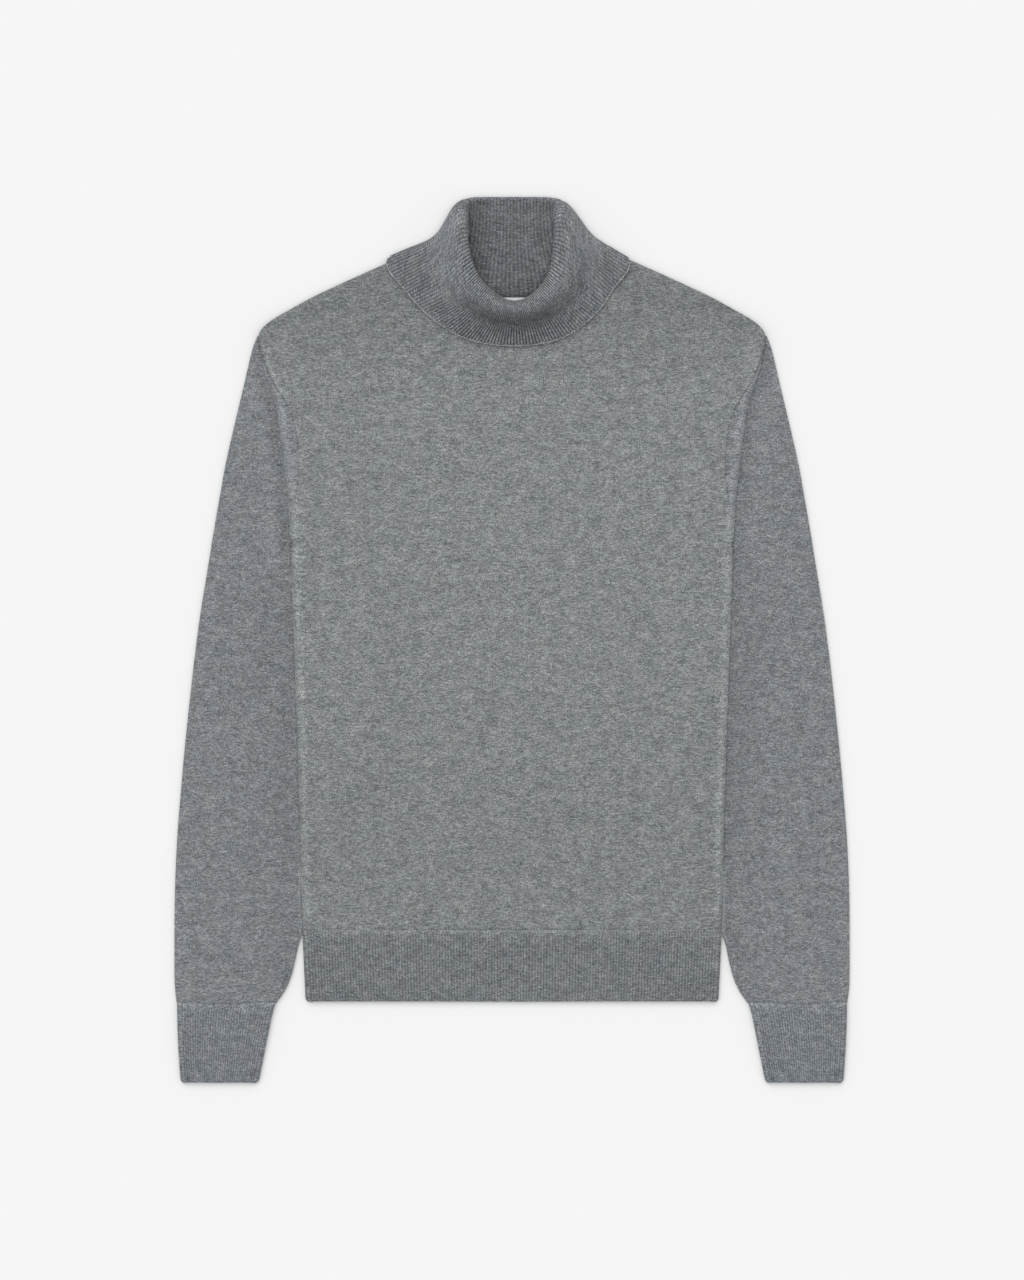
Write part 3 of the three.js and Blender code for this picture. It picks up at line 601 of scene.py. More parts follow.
def collar_painted_light(surface, place):
    """Painted light and shade of the collar by its points and by how far each lies on from guide to guide:
    painted shade inside the opening and in the valley, painted highlights on the crest, the rim and the
    sides.
    """
    x = surface[:, :, 0]
    sideways = ease(*COLLAR_SIDE_X, np.abs(x))
    crest_row = np.argmin(np.abs(place - COLLAR_GUIDES.index("crest")))
    crest_y = np.broadcast_to(surface[:, crest_row : crest_row + 1, 1], x.shape)

    def part(tone_and_x, at):
        return tone_and_x[0] * ease(*tone_and_x[1], at)

    corner = part(INSIDE_CORNER, surface[:, :, 1]) * ease(*INSIDE_RIGHT[1], x)
    shade = INSIDE_SHADE + part(INSIDE_LEFT, -x) + part(INSIDE_RIGHT, x) + corner
    inside = (1 - ease(*INSIDE_PLACES, place)) * shade
    behind = mix(VALLEY_WIDTHS["front"], VALLEY_WIDTHS["side"], sideways)
    width = np.where(place < VALLEY_PLACE, VALLEY_WIDTHS["roll"], behind)
    depth = VALLEY_SHADE - sideways * np.where(x < 0, *VALLEY_SIDES)
    reach = np.where(x > 0, VALLEY_REACH["right"], VALLEY_REACH["left"])
    valley = depth * bell(place, VALLEY_PLACE, width) * ease(reach, VALLEY_REACH["front"], crest_y)
    crest = CREST_HIGHLIGHT[0] * bell(place, *CREST_HIGHLIGHT[1:]) * ease(*CREST_HIGHLIGHT_Y, crest_y)
    rim = RIM_HIGHLIGHT[0] * bell(place, *RIM_HIGHLIGHT[1:]) * sideways
    shine = np.where(x < 0, *SHINE_SIDES) * bell(place, *SHINE_BAND) * ease(*SHINE_Y, crest_y)
    return crest + rim + shine - inside - valley


def collar_relief(surface, place):
    """How much of the rib's depth, and of its painted furrow shade, each point of the collar carries."""
    sideways = np.abs(surface[:, :, 0])
    row = np.linspace(0, 1, surface.shape[1])[None, :]
    start, end = PRESSED_ROWS
    pressed = ease(*PRESSED_X, sideways) * ease(*start, row) * (1 - ease(*end, row))
    rim = RIM_RIBS[0] * bell(place, *RIM_RIBS[1:]) * ease(*RIM_RIBS_Y, surface[:, :, 1])
    fall = FALL_RIBS * ease(*FALL_PLACES, place) * (1 - FALL_SIDE * ease(*FALL_SIDE_X, sideways))
    inside = INSIDE_RIBS * (1 - ease(*INSIDE_RIBS_PLACES, place))
    off_surface = np.where(place < LYING_PLACE, 1, ease(*LYING_HEIGHTS, surface[:, :, 2]))
    return (1 - PRESSED_RIBS * pressed + (rim + fall - inside)) * off_surface


def quarter(a, b):
    """Length of a quarter of an ellipse."""
    return math.pi / 2 * np.sqrt((a * a + b * b) / 2)


class Fold:
    """The folded side at given heights y, read by the distance s along the cloth."""

    def __init__(self, y):
        self.y = y
        self.turn = side("turn", y)
        self.soft = SOFT_EDGE * ease(0, 5, self.turn)
        self.edge = side("fold", y)
        self.start = self.edge - self.turn - self.soft
        self.under = side("under", y)
        self.rise = (side("top", y) - self.under) / 2
        self.upper = quarter(self.turn + self.soft, self.rise)
        self.bend = self.upper + quarter(self.turn, self.rise)
        self.behind_end = side("tuck", y) + PLEAT
        self.behind = self.bend + np.maximum(self.edge - self.turn - self.behind_end, 0)
        self.pleat_rise = (self.under - UPPER_LAYER) / 2
        self.end = self.behind + 2 * quarter(PLEAT, np.abs(self.pleat_rise))
        self.seam = side("seam", y) + self.soft

    def at(self, s):
        flat_x = self.start + np.minimum(s, 0)
        half = math.pi / 2
        upper_angle = half * np.clip(s / self.upper, 0, 1)
        lower_angle = half + half * np.clip((s - self.upper) / (self.bend - self.upper), 0, 1)
        pleat_angle = math.pi * np.clip((s - self.behind) / (self.end - self.behind), 0, 1)
        middle = self.under + self.rise
        stretches = [s <= 0, s <= self.upper, s <= self.bend, s <= self.behind]
        turned = self.edge - self.turn
        x = np.select(stretches, [
            flat_x,
            self.start + (self.turn + self.soft) * np.sin(upper_angle),
            turned + self.turn * np.sin(lower_angle),
            turned - (s - self.bend),
        ], self.behind_end - PLEAT * np.sin(pleat_angle))
        z = np.select(stretches, [
            front_height(flat_x, self.y),
            middle + self.rise * np.cos(upper_angle),
            middle + self.rise * np.cos(lower_angle),
            self.under + 0 * s,
        ], UPPER_LAYER + self.pleat_rise + self.pleat_rise * np.cos(pleat_angle))
        return x, z


def shoulder_line(x):
    across = np.maximum(np.abs(x), SHOULDER[0][0])
    return follow(*zip(*SHOULDER), across) - COLLAR_INSET * (1 - ease(*COLLAR_REACH, across))


def catmull(p0, p1, p2, p3, weight):
    """Centripetal Catmull-Rom from p1 to p2. The points' last axis holds x, y and z."""
    def gap(a, b, fallback):
        span = np.sqrt(np.linalg.norm(b - a, axis=-1, keepdims=True))
        return np.where(span < 1e-4, fallback, span)
    middle = gap(p1, p2, 1.0)
    first = gap(p0, p1, middle)
    last = gap(p2, p3, middle)
    out = ((p1 - p0) / first - (p2 - p0) / (first + middle) + (p2 - p1) / middle) * middle
    into = ((p2 - p1) / middle - (p3 - p1) / (middle + last) + (p3 - p2) / last) * middle
    w = weight
    return p1 + out * w + (3 * (p2 - p1) - 2 * out - into) * w**2 + (2 * (p1 - p2) + out + into) * w**3


def collar_points():
    """The collar's stations all round the neck, by guide, with the right side mirrored from the left."""
    stations = np.array(COLLAR_STATIONS, float)
    centre = FRONT_SHIFT * ease(*FRONT_SHIFT_Y, stations[:, 3, 1])
    left = stations.copy()
    left[:, :, 0] = -stations[:, :, 0] + centre[:, None]
    right = stations[1:-1][::-1].copy()
    right[:, :, 0] = right[:, :, 0] * np.array(RIGHT_COLLAR_SHRINK) + centre[1:-1][::-1][:, None]
    return np.concatenate([left, right])


def round_the_neck(turns):
    """All six guides at the given parts of a turn round the neck."""
    points = collar_points()
    count = len(points)
    place = (np.asarray(turns) % 1) * count
    i = np.floor(place).astype(int)
    weight = (place - i)[:, None, None]
    return catmull(*(points[(i + step) % count] for step in (-1, 0, 1, 2)), weight)


def even_turns(count):
    """Parts of a turn that space the ribs evenly along the lip behind and the free edge in front."""
    samples = np.linspace(0, 1, NECK_SAMPLES)
    guides = round_the_neck(samples)
    lip, edge = COLLAR_GUIDES.index("lip"), COLLAR_GUIDES.index("edge")
    steps = np.linalg.norm(np.diff(guides[:, [lip, edge]], axis=0), axis=2)
    station = len(collar_points()) * np.minimum(samples, 1 - samples)[1:]
    steps = mix(steps[:, 0], steps[:, 1], ease(*COLLAR_TURN, station))
    walked = np.concatenate([[0], np.cumsum(steps)])
    return np.interp(np.arange(count) / count * walked[-1], walked, samples)


def row_places():
    """How far each row of the collar's section lies on, where each guide counts as one step."""
    places = [k + t for k, count in enumerate(COLLAR_CELLS) for t in np.linspace(0, 1, count + 1)[:-1]]
    return np.array(places + [len(COLLAR_CELLS)])


def collar_section(guides):
    """Points across the collar from seam to edge, on a smooth line through the six guides."""
    before = 2 * guides[:, :1] - guides[:, 1:2]
    after = 2 * guides[:, -1:] - guides[:, -2:-1]
    padded = np.concatenate([before, guides, after], axis=1)
    rows = []
    for k, count in enumerate(COLLAR_CELLS):
        last = k == len(COLLAR_CELLS) - 1
        for t in np.linspace(0, 1, count + 1)[: None if last else -1]:
            rows.append(catmull(*(padded[:, k + step] for step in range(4)), t))
    return np.stack(rows, axis=1)


def top_edge(x, front):
    """Where each column of a panel ends: at the neck's edge inside the neck points, else the shoulder."""
    seam = [station[0] for station in COLLAR_STATIONS]
    half = seam[FRONT_STATIONS:][::-1] if front else seam[:FRONT_STATIONS]
    keys, values, _ = zip(*half)
    across = np.abs(x)
    inset = 0 if front else BACK_SHOULDER_INSET
    inside = follow(keys, values, across) - 2 * HALF_GAP
    return np.where(across < keys[-1], inside, shoulder_line(x) - inset)


def gathered(count, ids, vectors):
    """The sum at each point of the vectors of the faces or edges that meet there."""
    sums = np.zeros((count, 3))
    for column in ids.T:
        np.add.at(sums, column, vectors)
    return sums


class Cloth:
    """The middle surface of a piece of cloth, gathered from grids of points in millimetres."""

    def __init__(self):
        self.points = []
        self.knit = []
        self.triangles = []
        self.count = 0

    def grid(self, points, knit, flip=False):
        rows, columns = points.shape[:2]
        ids = np.arange(rows * columns).reshape(rows, columns) + self.count
        a, b, c, d = ids[:-1, :-1], ids[:-1, 1:], ids[1:, 1:], ids[1:, :-1]
        pair = np.concatenate([np.stack(trio, -1).reshape(-1, 3) for trio in ((a, b, c), (a, c, d))])
        self.triangles.append(pair[:, ::-1] if flip else pair)
        self.points.append(points.reshape(-1, 3))
        self.knit.append(knit.reshape(-1, 2))
        self.count += rows * columns

    def both_halves(self, points, knit):
        self.grid(points, knit)
        self.grid(points * np.array([-1, 1, 1]), knit * np.array([-1, 1]), flip=True)

    def merged(self):
        points = np.concatenate(self.points)
        knit = np.concatenate(self.knit)
        triangles = np.concatenate(self.triangles)
        _, first, back = np.unique(np.round(points, 3), axis=0, return_index=True, return_inverse=True)
        triangles = back.reshape(-1)[triangles]
        a, b, c = triangles.T
        triangles = triangles[(a != b) & (b != c) & (c != a)]
        return points[first], knit[first], triangles

    def wall(self, name, thickness, tone=None):
        """Closes the wall with both faces and a rounded rim along every open edge."""
        points, knit, triangles = self.merged()
        count = len(points)
        corners = points[triangles]
        normal = np.cross(corners[:, 1] - corners[:, 0], corners[:, 2] - corners[:, 0])
        normals = unit(gathered(count, triangles, normal))
        half = thickness(points)[:, None] / 2
        edges = np.concatenate([triangles[:, ends] for ends in ([0, 1], [1, 2], [2, 0])])
        keys = edges[:, 0] * count + edges[:, 1]
        opposite = edges[:, 1] * count + edges[:, 0]
        rim = edges[~np.isin(keys, opposite)]
        direction = np.cross(points[rim[:, 1]] - points[rim[:, 0]], normals[rim[:, 0]])
        on_rim = np.unique(rim)
        outward = unit(gathered(count, rim, direction)[on_rim])
        rim_id = np.zeros(count, int)
        rim_id[on_rim] = np.arange(len(on_rim)) + 2 * count
        vertices = np.concatenate([
            points + normals * half,
            points - normals * half,
            points[on_rim] + outward * half[on_rim] * RIM_SHARE,
        ])
        p, q = rim.T
        r, s = rim_id[p], rim_id[q]
        closing = ((q, p, r), (q, r, s), (s, r, p + count), (s, p + count, q + count))
        faces = np.concatenate([
            triangles, triangles[:, ::-1] + count, *(np.stack(trio, -1) for trio in closing),
        ])
        # tone gives each point its painted light and shade, or none
        shade = tone(vertices) if tone else np.zeros(len(vertices))
        return make_mesh(name, vertices, faces, np.concatenate([knit, knit, knit[on_rim]]), tone=shade)


def even_wall(wall):
    """The thickness of a wall that is the same at all points."""
    return lambda points: np.full(len(points), wall)


def linked(name, data):
    """A new object for some data, placed in the scene."""
    piece = bpy.data.objects.new(name, data)
    bpy.context.scene.collection.objects.link(piece)
    return piece


def make_mesh(name, vertices, faces, knit, **values):
    """An object from points in millimetres, with each point's place in the knit and other values."""
    vertices[:, 2] = np.maximum(vertices[:, 2], 0)
    mesh = bpy.data.meshes.new(name)
    mesh.from_pydata((vertices * MILLIMETRE).tolist(), [], faces.tolist())
    mesh.validate()
    mesh.shade_smooth()
    flat = np.concatenate([knit * MILLIMETRE, np.zeros((len(knit), 1))], axis=1)
    place = mesh.attributes.new("knit", "FLOAT_VECTOR", "POINT")
    place.data.foreach_set("vector", flat.astype(np.float32).ravel())
    for label, numbers in values.items():
        mesh.attributes.new(label, "FLOAT", "POINT").data.foreach_set("value", numbers.astype(np.float32))
    return linked(name, mesh)


def closed_tube(name, surface, knit, relief, tone):
    """A wall round a surface that closes on itself along its first axis, with both ends rounded.

    surface is a grid of points, round the tube and then along it, and relief says how much of the
    rib's depth each point of its outer face carries, in height and in painted furrow shade.
    """
    round_way = np.roll(surface, -1, axis=0) - np.roll(surface, 1, axis=0)
    long_way = np.gradient(surface, axis=1)
    normal = unit(np.cross(long_way, round_way))
    start = surface[:, :1] - RIB_WALL * END_ROUNDING * unit(long_way[:, :1])
    end = surface[:, -1:] + RIB_WALL * END_ROUNDING * unit(long_way[:, -1:])
    outer = surface + normal * RIB_WALL / 2
    inner = (surface - normal * RIB_WALL / 2)[:, ::-1]
    loops = np.concatenate([outer, end, inner, start], axis=1)

    def there_and_back(grid, at_ends=1, within=1):
        """A grid of the outer face carried over both ends and on along the inner face."""
        parts = [grid, grid[:, -1:] * at_ends, grid[:, ::-1] * within, grid[:, :1] * at_ends]
        return np.concatenate(parts, axis=1)

    columns, rows = loops.shape[:2]
    a = np.arange(columns * rows).reshape(columns, rows)
    b = np.roll(a, -1, axis=0)
    c, d = np.roll(b, -1, axis=1), np.roll(a, -1, axis=1)
    return make_mesh(
        name, loops.reshape(-1, 3), np.stack([a, d, c, b], -1).reshape(-1, 4),
        there_and_back(knit).reshape(-1, 2),
        relief=there_and_back(relief, at_ends=0.5, within=0).reshape(-1),
        tone=there_and_back(tone).reshape(-1),
    )


def panel_rows():
    return spaced((HEM_SEAM + HALF_GAP - SHOULDER_BASE, -PANEL_STEP))[:, None] + SHOULDER_BASE


def front_panel():
    cloth = Cloth()
    y = panel_rows()
    fold = Fold(y)
    share = spaced(*FRONT_COLUMNS) / FRONT_COLUMNS[-1][0]
    s = share[None, :] * (fold.start + fold.seam - HALF_GAP)
    x, z = fold.at(s - fold.start)
    cloth.both_halves(stacked(x, y, z)[::-1], stacked(s, y)[::-1])
    t = np.linspace(0, 1, 30)[:, None]
    top = top_edge(x[0], front=True)
    y_up = mix(SHOULDER_BASE, top, t)
    closeness = np.clip(1 - (top - y_up) / SHOULDER_ROUNDING, 0, 1)
    rounding = SHOULDER_DROP * (1 - np.sqrt(1 - closeness**2 * 0.99))
    drop = np.where(x[0] >= SHOULDER[0][0], rounding, 0)
    z_up = mix(z[0], front_height(x[0], y_up), ease(0, 0.3, t)) - drop
    cloth.both_halves(stacked(x[0], y_up, z_up), stacked(x[0], y_up))
    return cloth.wall("front_panel", even_wall(JERSEY), panel_painted_light_and_seam_tone)


def back_panel():
    cloth = Cloth()
    y = panel_rows()
    beside = side("fold", y) - side("turn", y) - BACK_INSET["side"]
    reach = np.where(y > CAP_TOP, side("tuck", y) - BACK_INSET["cap"], beside)
    share = spaced(*BACK_COLUMNS) / BACK_COLUMNS[-1][0]
    x = share[None, :] * reach
    cloth.both_halves(stacked(x, y, back_height(x, y))[::-1], stacked(x, y)[::-1])
    t = np.linspace(0, 1, 22)[:, None]
    y_up = mix(SHOULDER_BASE, top_edge(x[0], front=False), t)
    cloth.both_halves(stacked(x[0], y_up, back_height(x[0], y_up)), stacked(x[0], y_up))
    return cloth.wall("back_panel", lambda points: back_wall(points[:, 0], points[:, 1]))


def sleeve_air(x, y, puff):
    """Height of the air in the sleeve: a soft ridge near the body above the elbow, broader below."""
    inner = np.where(y >= HEM_SEAM, side("fold", y) + PUFF_START, side("tuck", y))
    t = np.clip((x - inner) / (side("outer", y) - inner), 0, 1)
    skew = mix(*PUFF_SKEW, ease(*PUFF_SKEW_Y, y))
    fade = ease(SHOULDER_BASE, PUFF_FULL, y)
    beside = x - side("fold", y)
    falling = np.exp(-np.maximum(beside - NESTLE_START[1], 0) / NESTLE_REACH)
    nestled = NESTLE * ease(*NESTLE_START, beside) * falling
    nestled = nestled * ease(*NESTLE_TOP, y) * ease(*NESTLE_BOTTOM, y)
    return puff * np.sin(math.pi * t**skew) ** PUFF_POWER * fade + nestled


def sleeve(name, sign, puff):
    cloth = Cloth()
    y = spaced((CUFF_SEAM + HALF_GAP - SLEEVE_TOP, -SLEEVE_STEP))[:, None] + SLEEVE_TOP
    y = np.where(np.abs(y - UNDERARM) < SLEEVE_STEP / 2, UNDERARM, y)

    def across(part, skip=0):
        return np.linspace(0, 1, SLEEVE_COLUMNS[part])[None, skip:]

    def add(rows, x, z, s):
        points = stacked(x, rows, z) * np.array([sign, 1, 1])
        cloth.grid(points, stacked(sign * s, rows), flip=sign > 0)

    # The cap and the part wrapped round the body's fold, above the underarm
    above = y[y >= UNDERARM][:, None]
    fold = Fold(above)
    first = fold.seam + HALF_GAP
    s = first + (fold.end - first) * across("wrapped")
    x, z = fold.at(s)
    add(above, x, z, fold.start + s)

    # The tube, from the tuck over the top to the outer edge and back along the surface
    inner = side("tuck", y) + PLEAT
    outer_edge = side("outer", y)
    turn = np.minimum(side("turn", y) * OUTER_TURN, (outer_edge - side("tuck", y)) / 4)
    outer = outer_edge - turn
    shown = np.maximum(np.where(y >= HEM_SEAM, side("fold", y) - SHOWN_START, 0), inner + 1)
    middle = (UPPER_LAYER + LOWER_LAYER) / 2
    hidden_x = mix(inner, shown, across("hidden")[:, :-1])
    shown_x = mix(shown, outer, across("shown") ** SHOWN_POWER)
    calm = ease(*SLEEVE_CALM["inner"], shown_x - shown) * ease(*SLEEVE_CALM["outer"], outer - shown_x)
    calm = calm * ease(*SLEEVE_CALM["cuff"], y)
    air = sleeve_air(shown_x, y, puff)
    shown_z = UPPER_LAYER + air + creases(SLEEVE_CREASES, shown_x, y, mirror=-1) * calm
    angle = math.pi * across("turn", 1)
    bend_x = outer + turn * np.sin(angle)
    bend_z = middle + (UPPER_LAYER - middle) * np.cos(angle)
    lower_x = mix(outer, inner, across("below", 1))
    x = np.concatenate([hidden_x, shown_x, bend_x, lower_x], axis=1)
    z = np.concatenate([
        UPPER_LAYER + sleeve_air(hidden_x, y, puff), shown_z, np.broadcast_to(bend_z, bend_x.shape),
        np.full(lower_x.shape, LOWER_LAYER),
    ], axis=1)
    steps = np.hypot(np.diff(x, axis=1), np.diff(z, axis=1))
    s = np.concatenate([np.zeros((len(y), 1)), np.cumsum(steps, axis=1)], axis=1)
    add(y, x, z, s + inner)

    # The pleat that closes the tube at the tuck, below the underarm
    below = y[y <= UNDERARM][:, None]
    angle = math.pi * across("pleat")
    closing = side("tuck", below) + PLEAT
    x = closing - PLEAT * np.sin(angle)
    rise = (UPPER_LAYER + sleeve_air(closing, below, puff) - LOWER_LAYER) / 2
    z = LOWER_LAYER + rise - rise * np.cos(angle)
    add(below, x, z, 2 * outer_edge.max() + x)
    return cloth.wall(name, even_wall(JERSEY), panel_painted_light_and_seam_tone)


def edge_share(x, left, right):
    """How near to either side edge a point lies, from 0 in the middle to 1."""
    return np.abs(2 * x - left - right) ** 4 / (right - left) ** 4


def flat_band(name, edges, level, ribs, settles):
    """A ribbed tube lying flat. Its upper face carries the ribs and its lower face rests below."""
    top = np.arange(ribs * COLUMNS_PER_RIB) / (ribs * COLUMNS_PER_RIB)
    arc = np.arange(SIDE_ARC_COLUMNS) / SIDE_ARC_COLUMNS
    under = np.arange(UNDERSIDE_COLUMNS) / UNDERSIDE_COLUMNS
    y_from, y_to = edges[0][0], edges[-1][0] + END_ROUNDING * RIB_WALL
    v = np.concatenate([BAND_ROWS, 1 - CORNER * np.array(CORNER_ROWS) / abs(y_to - y_from)])
    y = mix(y_from, y_to, v)[None, :]
    near_end = np.clip(1 - np.abs(y_to - y) / CORNER, 0, 1)
    rounded = CORNER * (1 - np.sqrt(1 - near_end**2))
    keys, lefts, rights = zip(*edges[::-1])
    inset = RIB_WALL / 2 + BAND_ROUNDING + rounded
    left = follow(keys, lefts, y) + inset
    right = follow(keys, rights, y) - inset
    upper = mix(*level, ease(0, settles, v))[None, :] - EDGE_DROOP * ease(0.9, 1, v)[None, :]
    lower = RIB_WALL / 2
    middle, rise = (upper + lower) / 2, (upper - lower) / 2
    angle = math.pi * arc[:, None]
    x = np.concatenate([
        mix(left, right, top[:, None]),
        right + BAND_ROUNDING * np.sin(angle),
        mix(right, left, under[:, None]),
        left - BAND_ROUNDING * np.sin(angle),
    ])
    z = np.concatenate([
        np.broadcast_to(upper, (len(top), len(v))),
        middle + rise * np.cos(angle),
        np.full((len(under), len(v)), lower),
        middle - rise * np.cos(angle),
    ])
    arc_ribs = arc * SIDE_ARC_RIBS
    rib = np.concatenate([
        top * ribs, ribs + arc_ribs, ribs + SIDE_ARC_RIBS + under * ribs, arc_ribs - SIDE_ARC_RIBS,
    ])
    ribbed = np.concatenate([np.ones(len(top)), 1 - arc, np.zeros(len(under)), arc])
    relief = ribbed[:, None] * mix(SEAM_RELIEF, 1, ease(*SEAM_RELIEF_ROWS, v))[None, :]
    at_edges = ease(*BAND_EDGE_ROWS, v)[None, :] * edge_share(x, left, right)
    tone = BAND_SEAM_TONE * bell(y, y_from, BAND_SEAM_WIDTH) + BAND_EDGE_TONE * at_edges
    pitch = bpy.context.scene.sweater_sizes.rib_pitch / MILLIMETRE
    knit = stacked(np.broadcast_to(rib[:, None] * pitch, x.shape), y)
    return closed_tube(name, stacked(x, y, z), knit, relief, tone)


def collar_tube(ribs, pitch):
    """The folded collar with its columns set for the ribs."""
    count = ribs * COLUMNS_PER_RIB
    surface = collar_section(round_the_neck(even_turns(count)))
    surface[:, :, 2] = np.maximum(surface[:, :, 2], RIB_WALL / 2)
    steps = np.linalg.norm(np.diff(surface, axis=1), axis=2)
    along = np.concatenate([np.zeros((count, 1)), np.cumsum(steps, axis=1)], axis=1)
    rib = np.arange(count)[:, None] / COLUMNS_PER_RIB
    place = row_places()[None, :]
    return closed_tube(
        "folded_collar", surface, stacked(rib * pitch, along),
        collar_relief(surface, place), collar_painted_light(surface, place),
    )


def label_piece():
    cloth = Cloth()
    x = np.linspace(LABEL["left"], LABEL["right"], LABEL_COLUMNS)[None, :]
    y = np.linspace(LABEL["bottom"], LABEL["top"], LABEL_ROWS)[:, None]
    z = back_height(x, y) + (JERSEY + LABEL_WALL) / 2 + 2 * HALF_GAP
    cloth.grid(stacked(x, y, z), stacked(x, y))
    return cloth.wall("bare_label", even_wall(LABEL_WALL))


def polyline(name, points):
    """A bare line through points in millimetres, for stitches to follow."""
    mesh = bpy.data.meshes.new(name)
    edges = [(k, k + 1) for k in range(len(points) - 1)]
    mesh.from_pydata((np.asarray(points) * MILLIMETRE).tolist(), edges, [])
    return linked(name, mesh)


def collar_edge_line():
    """The collar's free edge where it lies on the front, a little above its outer face."""
    turns = even_turns(bpy.context.scene.sweater_sizes.collar_ribs * COLUMNS_PER_RIB)
    section = collar_section(round_the_neck(turns))
    edge = section[:, -1] + BINDING_OUT * unit(section[:, -1] - section[:, -2])
    return edge[edge[:, 2] > SHOWN_EDGE] + np.array([0, 0, RIB_WALL / 2 - SUNK["binding"]])


def armhole_table():
    """The armhole seam's distance from the centre line over its height y."""
    y = spaced((ARMHOLE_Y[1] - ARMHOLE_Y[0], 3)) + ARMHOLE_Y[0]
    fold = Fold(y)
    return y, fold.at(fold.seam)[0]


def armhole_line(sign):
    """The seam between the front and a sleeve, down to where it turns behind the fold."""
    y, x = armhole_table()
    fold = Fold(y)
    z = fold.at(fold.seam)[1]
    return stacked(sign * x, y, z + JERSEY / 2 - SUNK["armhole"])


def hem_line():
    x = np.linspace(-HEM_LINE["end"], HEM_LINE["end"], HEM_LINE["points"])
    z = np.maximum(front_height(x, HEM_SEAM), HEM_LEVEL[0]) + JERSEY / 2 - SUNK["hem"]
    return stacked(x, HEM_SEAM, z)


def cuff_line(sign):
    near, far = CUFF_EDGES[0][1:]
    x = np.linspace(near + CUFF_LINE["inset"], far - CUFF_LINE["inset"], CUFF_LINE["points"])
    return stacked(sign * x, CUFF_SEAM, CUFF_LEVEL[0] + JERSEY / 2 - SUNK["cuff"])


def seam_lines():
    """Name, points, slot, yarn and stitch of every visible seam."""
    return (
        ("collar_binding", collar_edge_line(), "collar_rib", "highlit_binding_yarn", "bound"),
        ("left_armhole_seam", armhole_line(-1), "knit", "sunken_yarn", "flush"),
        ("right_armhole_seam", armhole_line(1), "knit", "sunken_yarn", "flush"),
        ("hem_seam", hem_line(), "knit", "highlit_linking_yarn", "short"),
        ("left_cuff_seam", cuff_line(-1), "sleeve_knit", "highlit_linking_yarn", "flush"),
        ("right_cuff_seam", cuff_line(1), "sleeve_knit", "highlit_linking_yarn", "flush"),
    )


class Wires:
    """Short ways to add nodes to a tree and feed them."""

    def __init__(self, tree):
        self.tree = tree

    def feed(self, socket, value):
        if isinstance(value, bpy.types.NodeSocket):
            self.tree.links.new(value, socket)
        else:
            socket.default_value = value

    def made(self, kind, feeds=(), **settings):
        """The outputs of a new node, once its settings are set and its inputs are fed."""
        node = self.tree.nodes.new(kind)
        for name, value in settings.items():
            setattr(node, name, value)
        for name, value in dict(feeds).items():
            self.feed(node.inputs[name], value)
        return node.outputs

    def maths(self, operation, *values):
        return self.made("ShaderNodeMath", enumerate(values), operation=operation)[0]

    def times(self, a, b):
        return self.maths("MULTIPLY", a, b)

    def plus(self, a, b):
        return self.maths("ADD", a, b)

    def minus(self, a, b):
        return self.maths("SUBTRACT", a, b)

    def over(self, a, b):
        return self.maths("DIVIDE", a, b)

    def size_of(self, a):
        return self.maths("ABSOLUTE", a)

    def wave(self, a, pitch):
        """A sine with one full turn over each pitch."""
        return self.maths("SINE", self.times(a, 2 * math.pi / pitch))

    def scaled(self, vector, share):
        return self.made("ShaderNodeVectorMath", {0: vector, "Scale": share}, operation="SCALE")["Vector"]

    def split(self, vector):
        parts = self.made("ShaderNodeSeparateXYZ", {0: vector})
        return parts["X"], parts["Y"]

    def join(self, x=0.0, y=0.0, z=0.0):
        return self.made("ShaderNodeCombineXYZ", {0: x, 1: y, 2: z})[0]

    def noise(self, vector, detail=0.0, roughness=0.5):
        feeds = {"Vector": vector, "Scale": 1.0, "Detail": detail, "Roughness": roughness}
        return self.made("ShaderNodeTexNoise", feeds)["Fac"]

    def attribute(self, name, output="Fac"):
        return self.made("ShaderNodeAttribute", attribute_name=name)[output]

    def group(self, name, maker, feeds):
        """The outputs of a shared group, placed in a material with its own values."""
        return self.made("ShaderNodeGroup", feeds, node_tree=group_called(name, maker))


def group_called(name, maker):
    return bpy.data.node_groups.get(name) or maker(name)


def new_group(name, kind, inputs, outputs):
    """A group's wires, its inputs and its outputs. An input has its kind and its default."""
    group = bpy.data.node_groups.new(name, kind)
    for label, (socket_kind, default) in inputs.items():
        socket = group.interface.new_socket(label, in_out="INPUT", socket_type="NodeSocket" + socket_kind)
        if default is not None:
            socket.default_value = default
    for label, socket_kind in outputs.items():
        group.interface.new_socket(label, in_out="OUTPUT", socket_type="NodeSocket" + socket_kind)
    return Wires(group), group.nodes.new("NodeGroupInput").outputs, group.nodes.new("NodeGroupOutput").inputs


def new_tree(name, inputs):
    """A geometry tree with a geometry and a material in, a geometry out and the inputs between."""
    sockets = {"Geometry": ("Geometry", None), **inputs, "Material": ("Material", None)}
    return new_group(name, "GeometryNodeTree", sockets, {"Geometry": "Geometry"})


def finish_tree(wires, given, end, geometry):
    """Ends a tree in real geometry with its material."""
    real = wires.made("GeometryNodeRealizeInstances", {"Geometry": geometry})["Geometry"]
    painted = wires.made("GeometryNodeSetMaterial", {"Geometry": real, "Material": given["Material"]})
    wires.feed(end["Geometry"], painted["Geometry"])
    return wires.tree


def rib_profile(wires, across, pitch):
    """Height of a rounded rib from 0 in the furrow to 1 on the crest."""
    turns = wires.over(across, pitch)
    wave = wires.maths("COSINE", wires.times(turns, math.pi))
    return wires.maths("POWER", wires.size_of(wave), RIB_POWER)


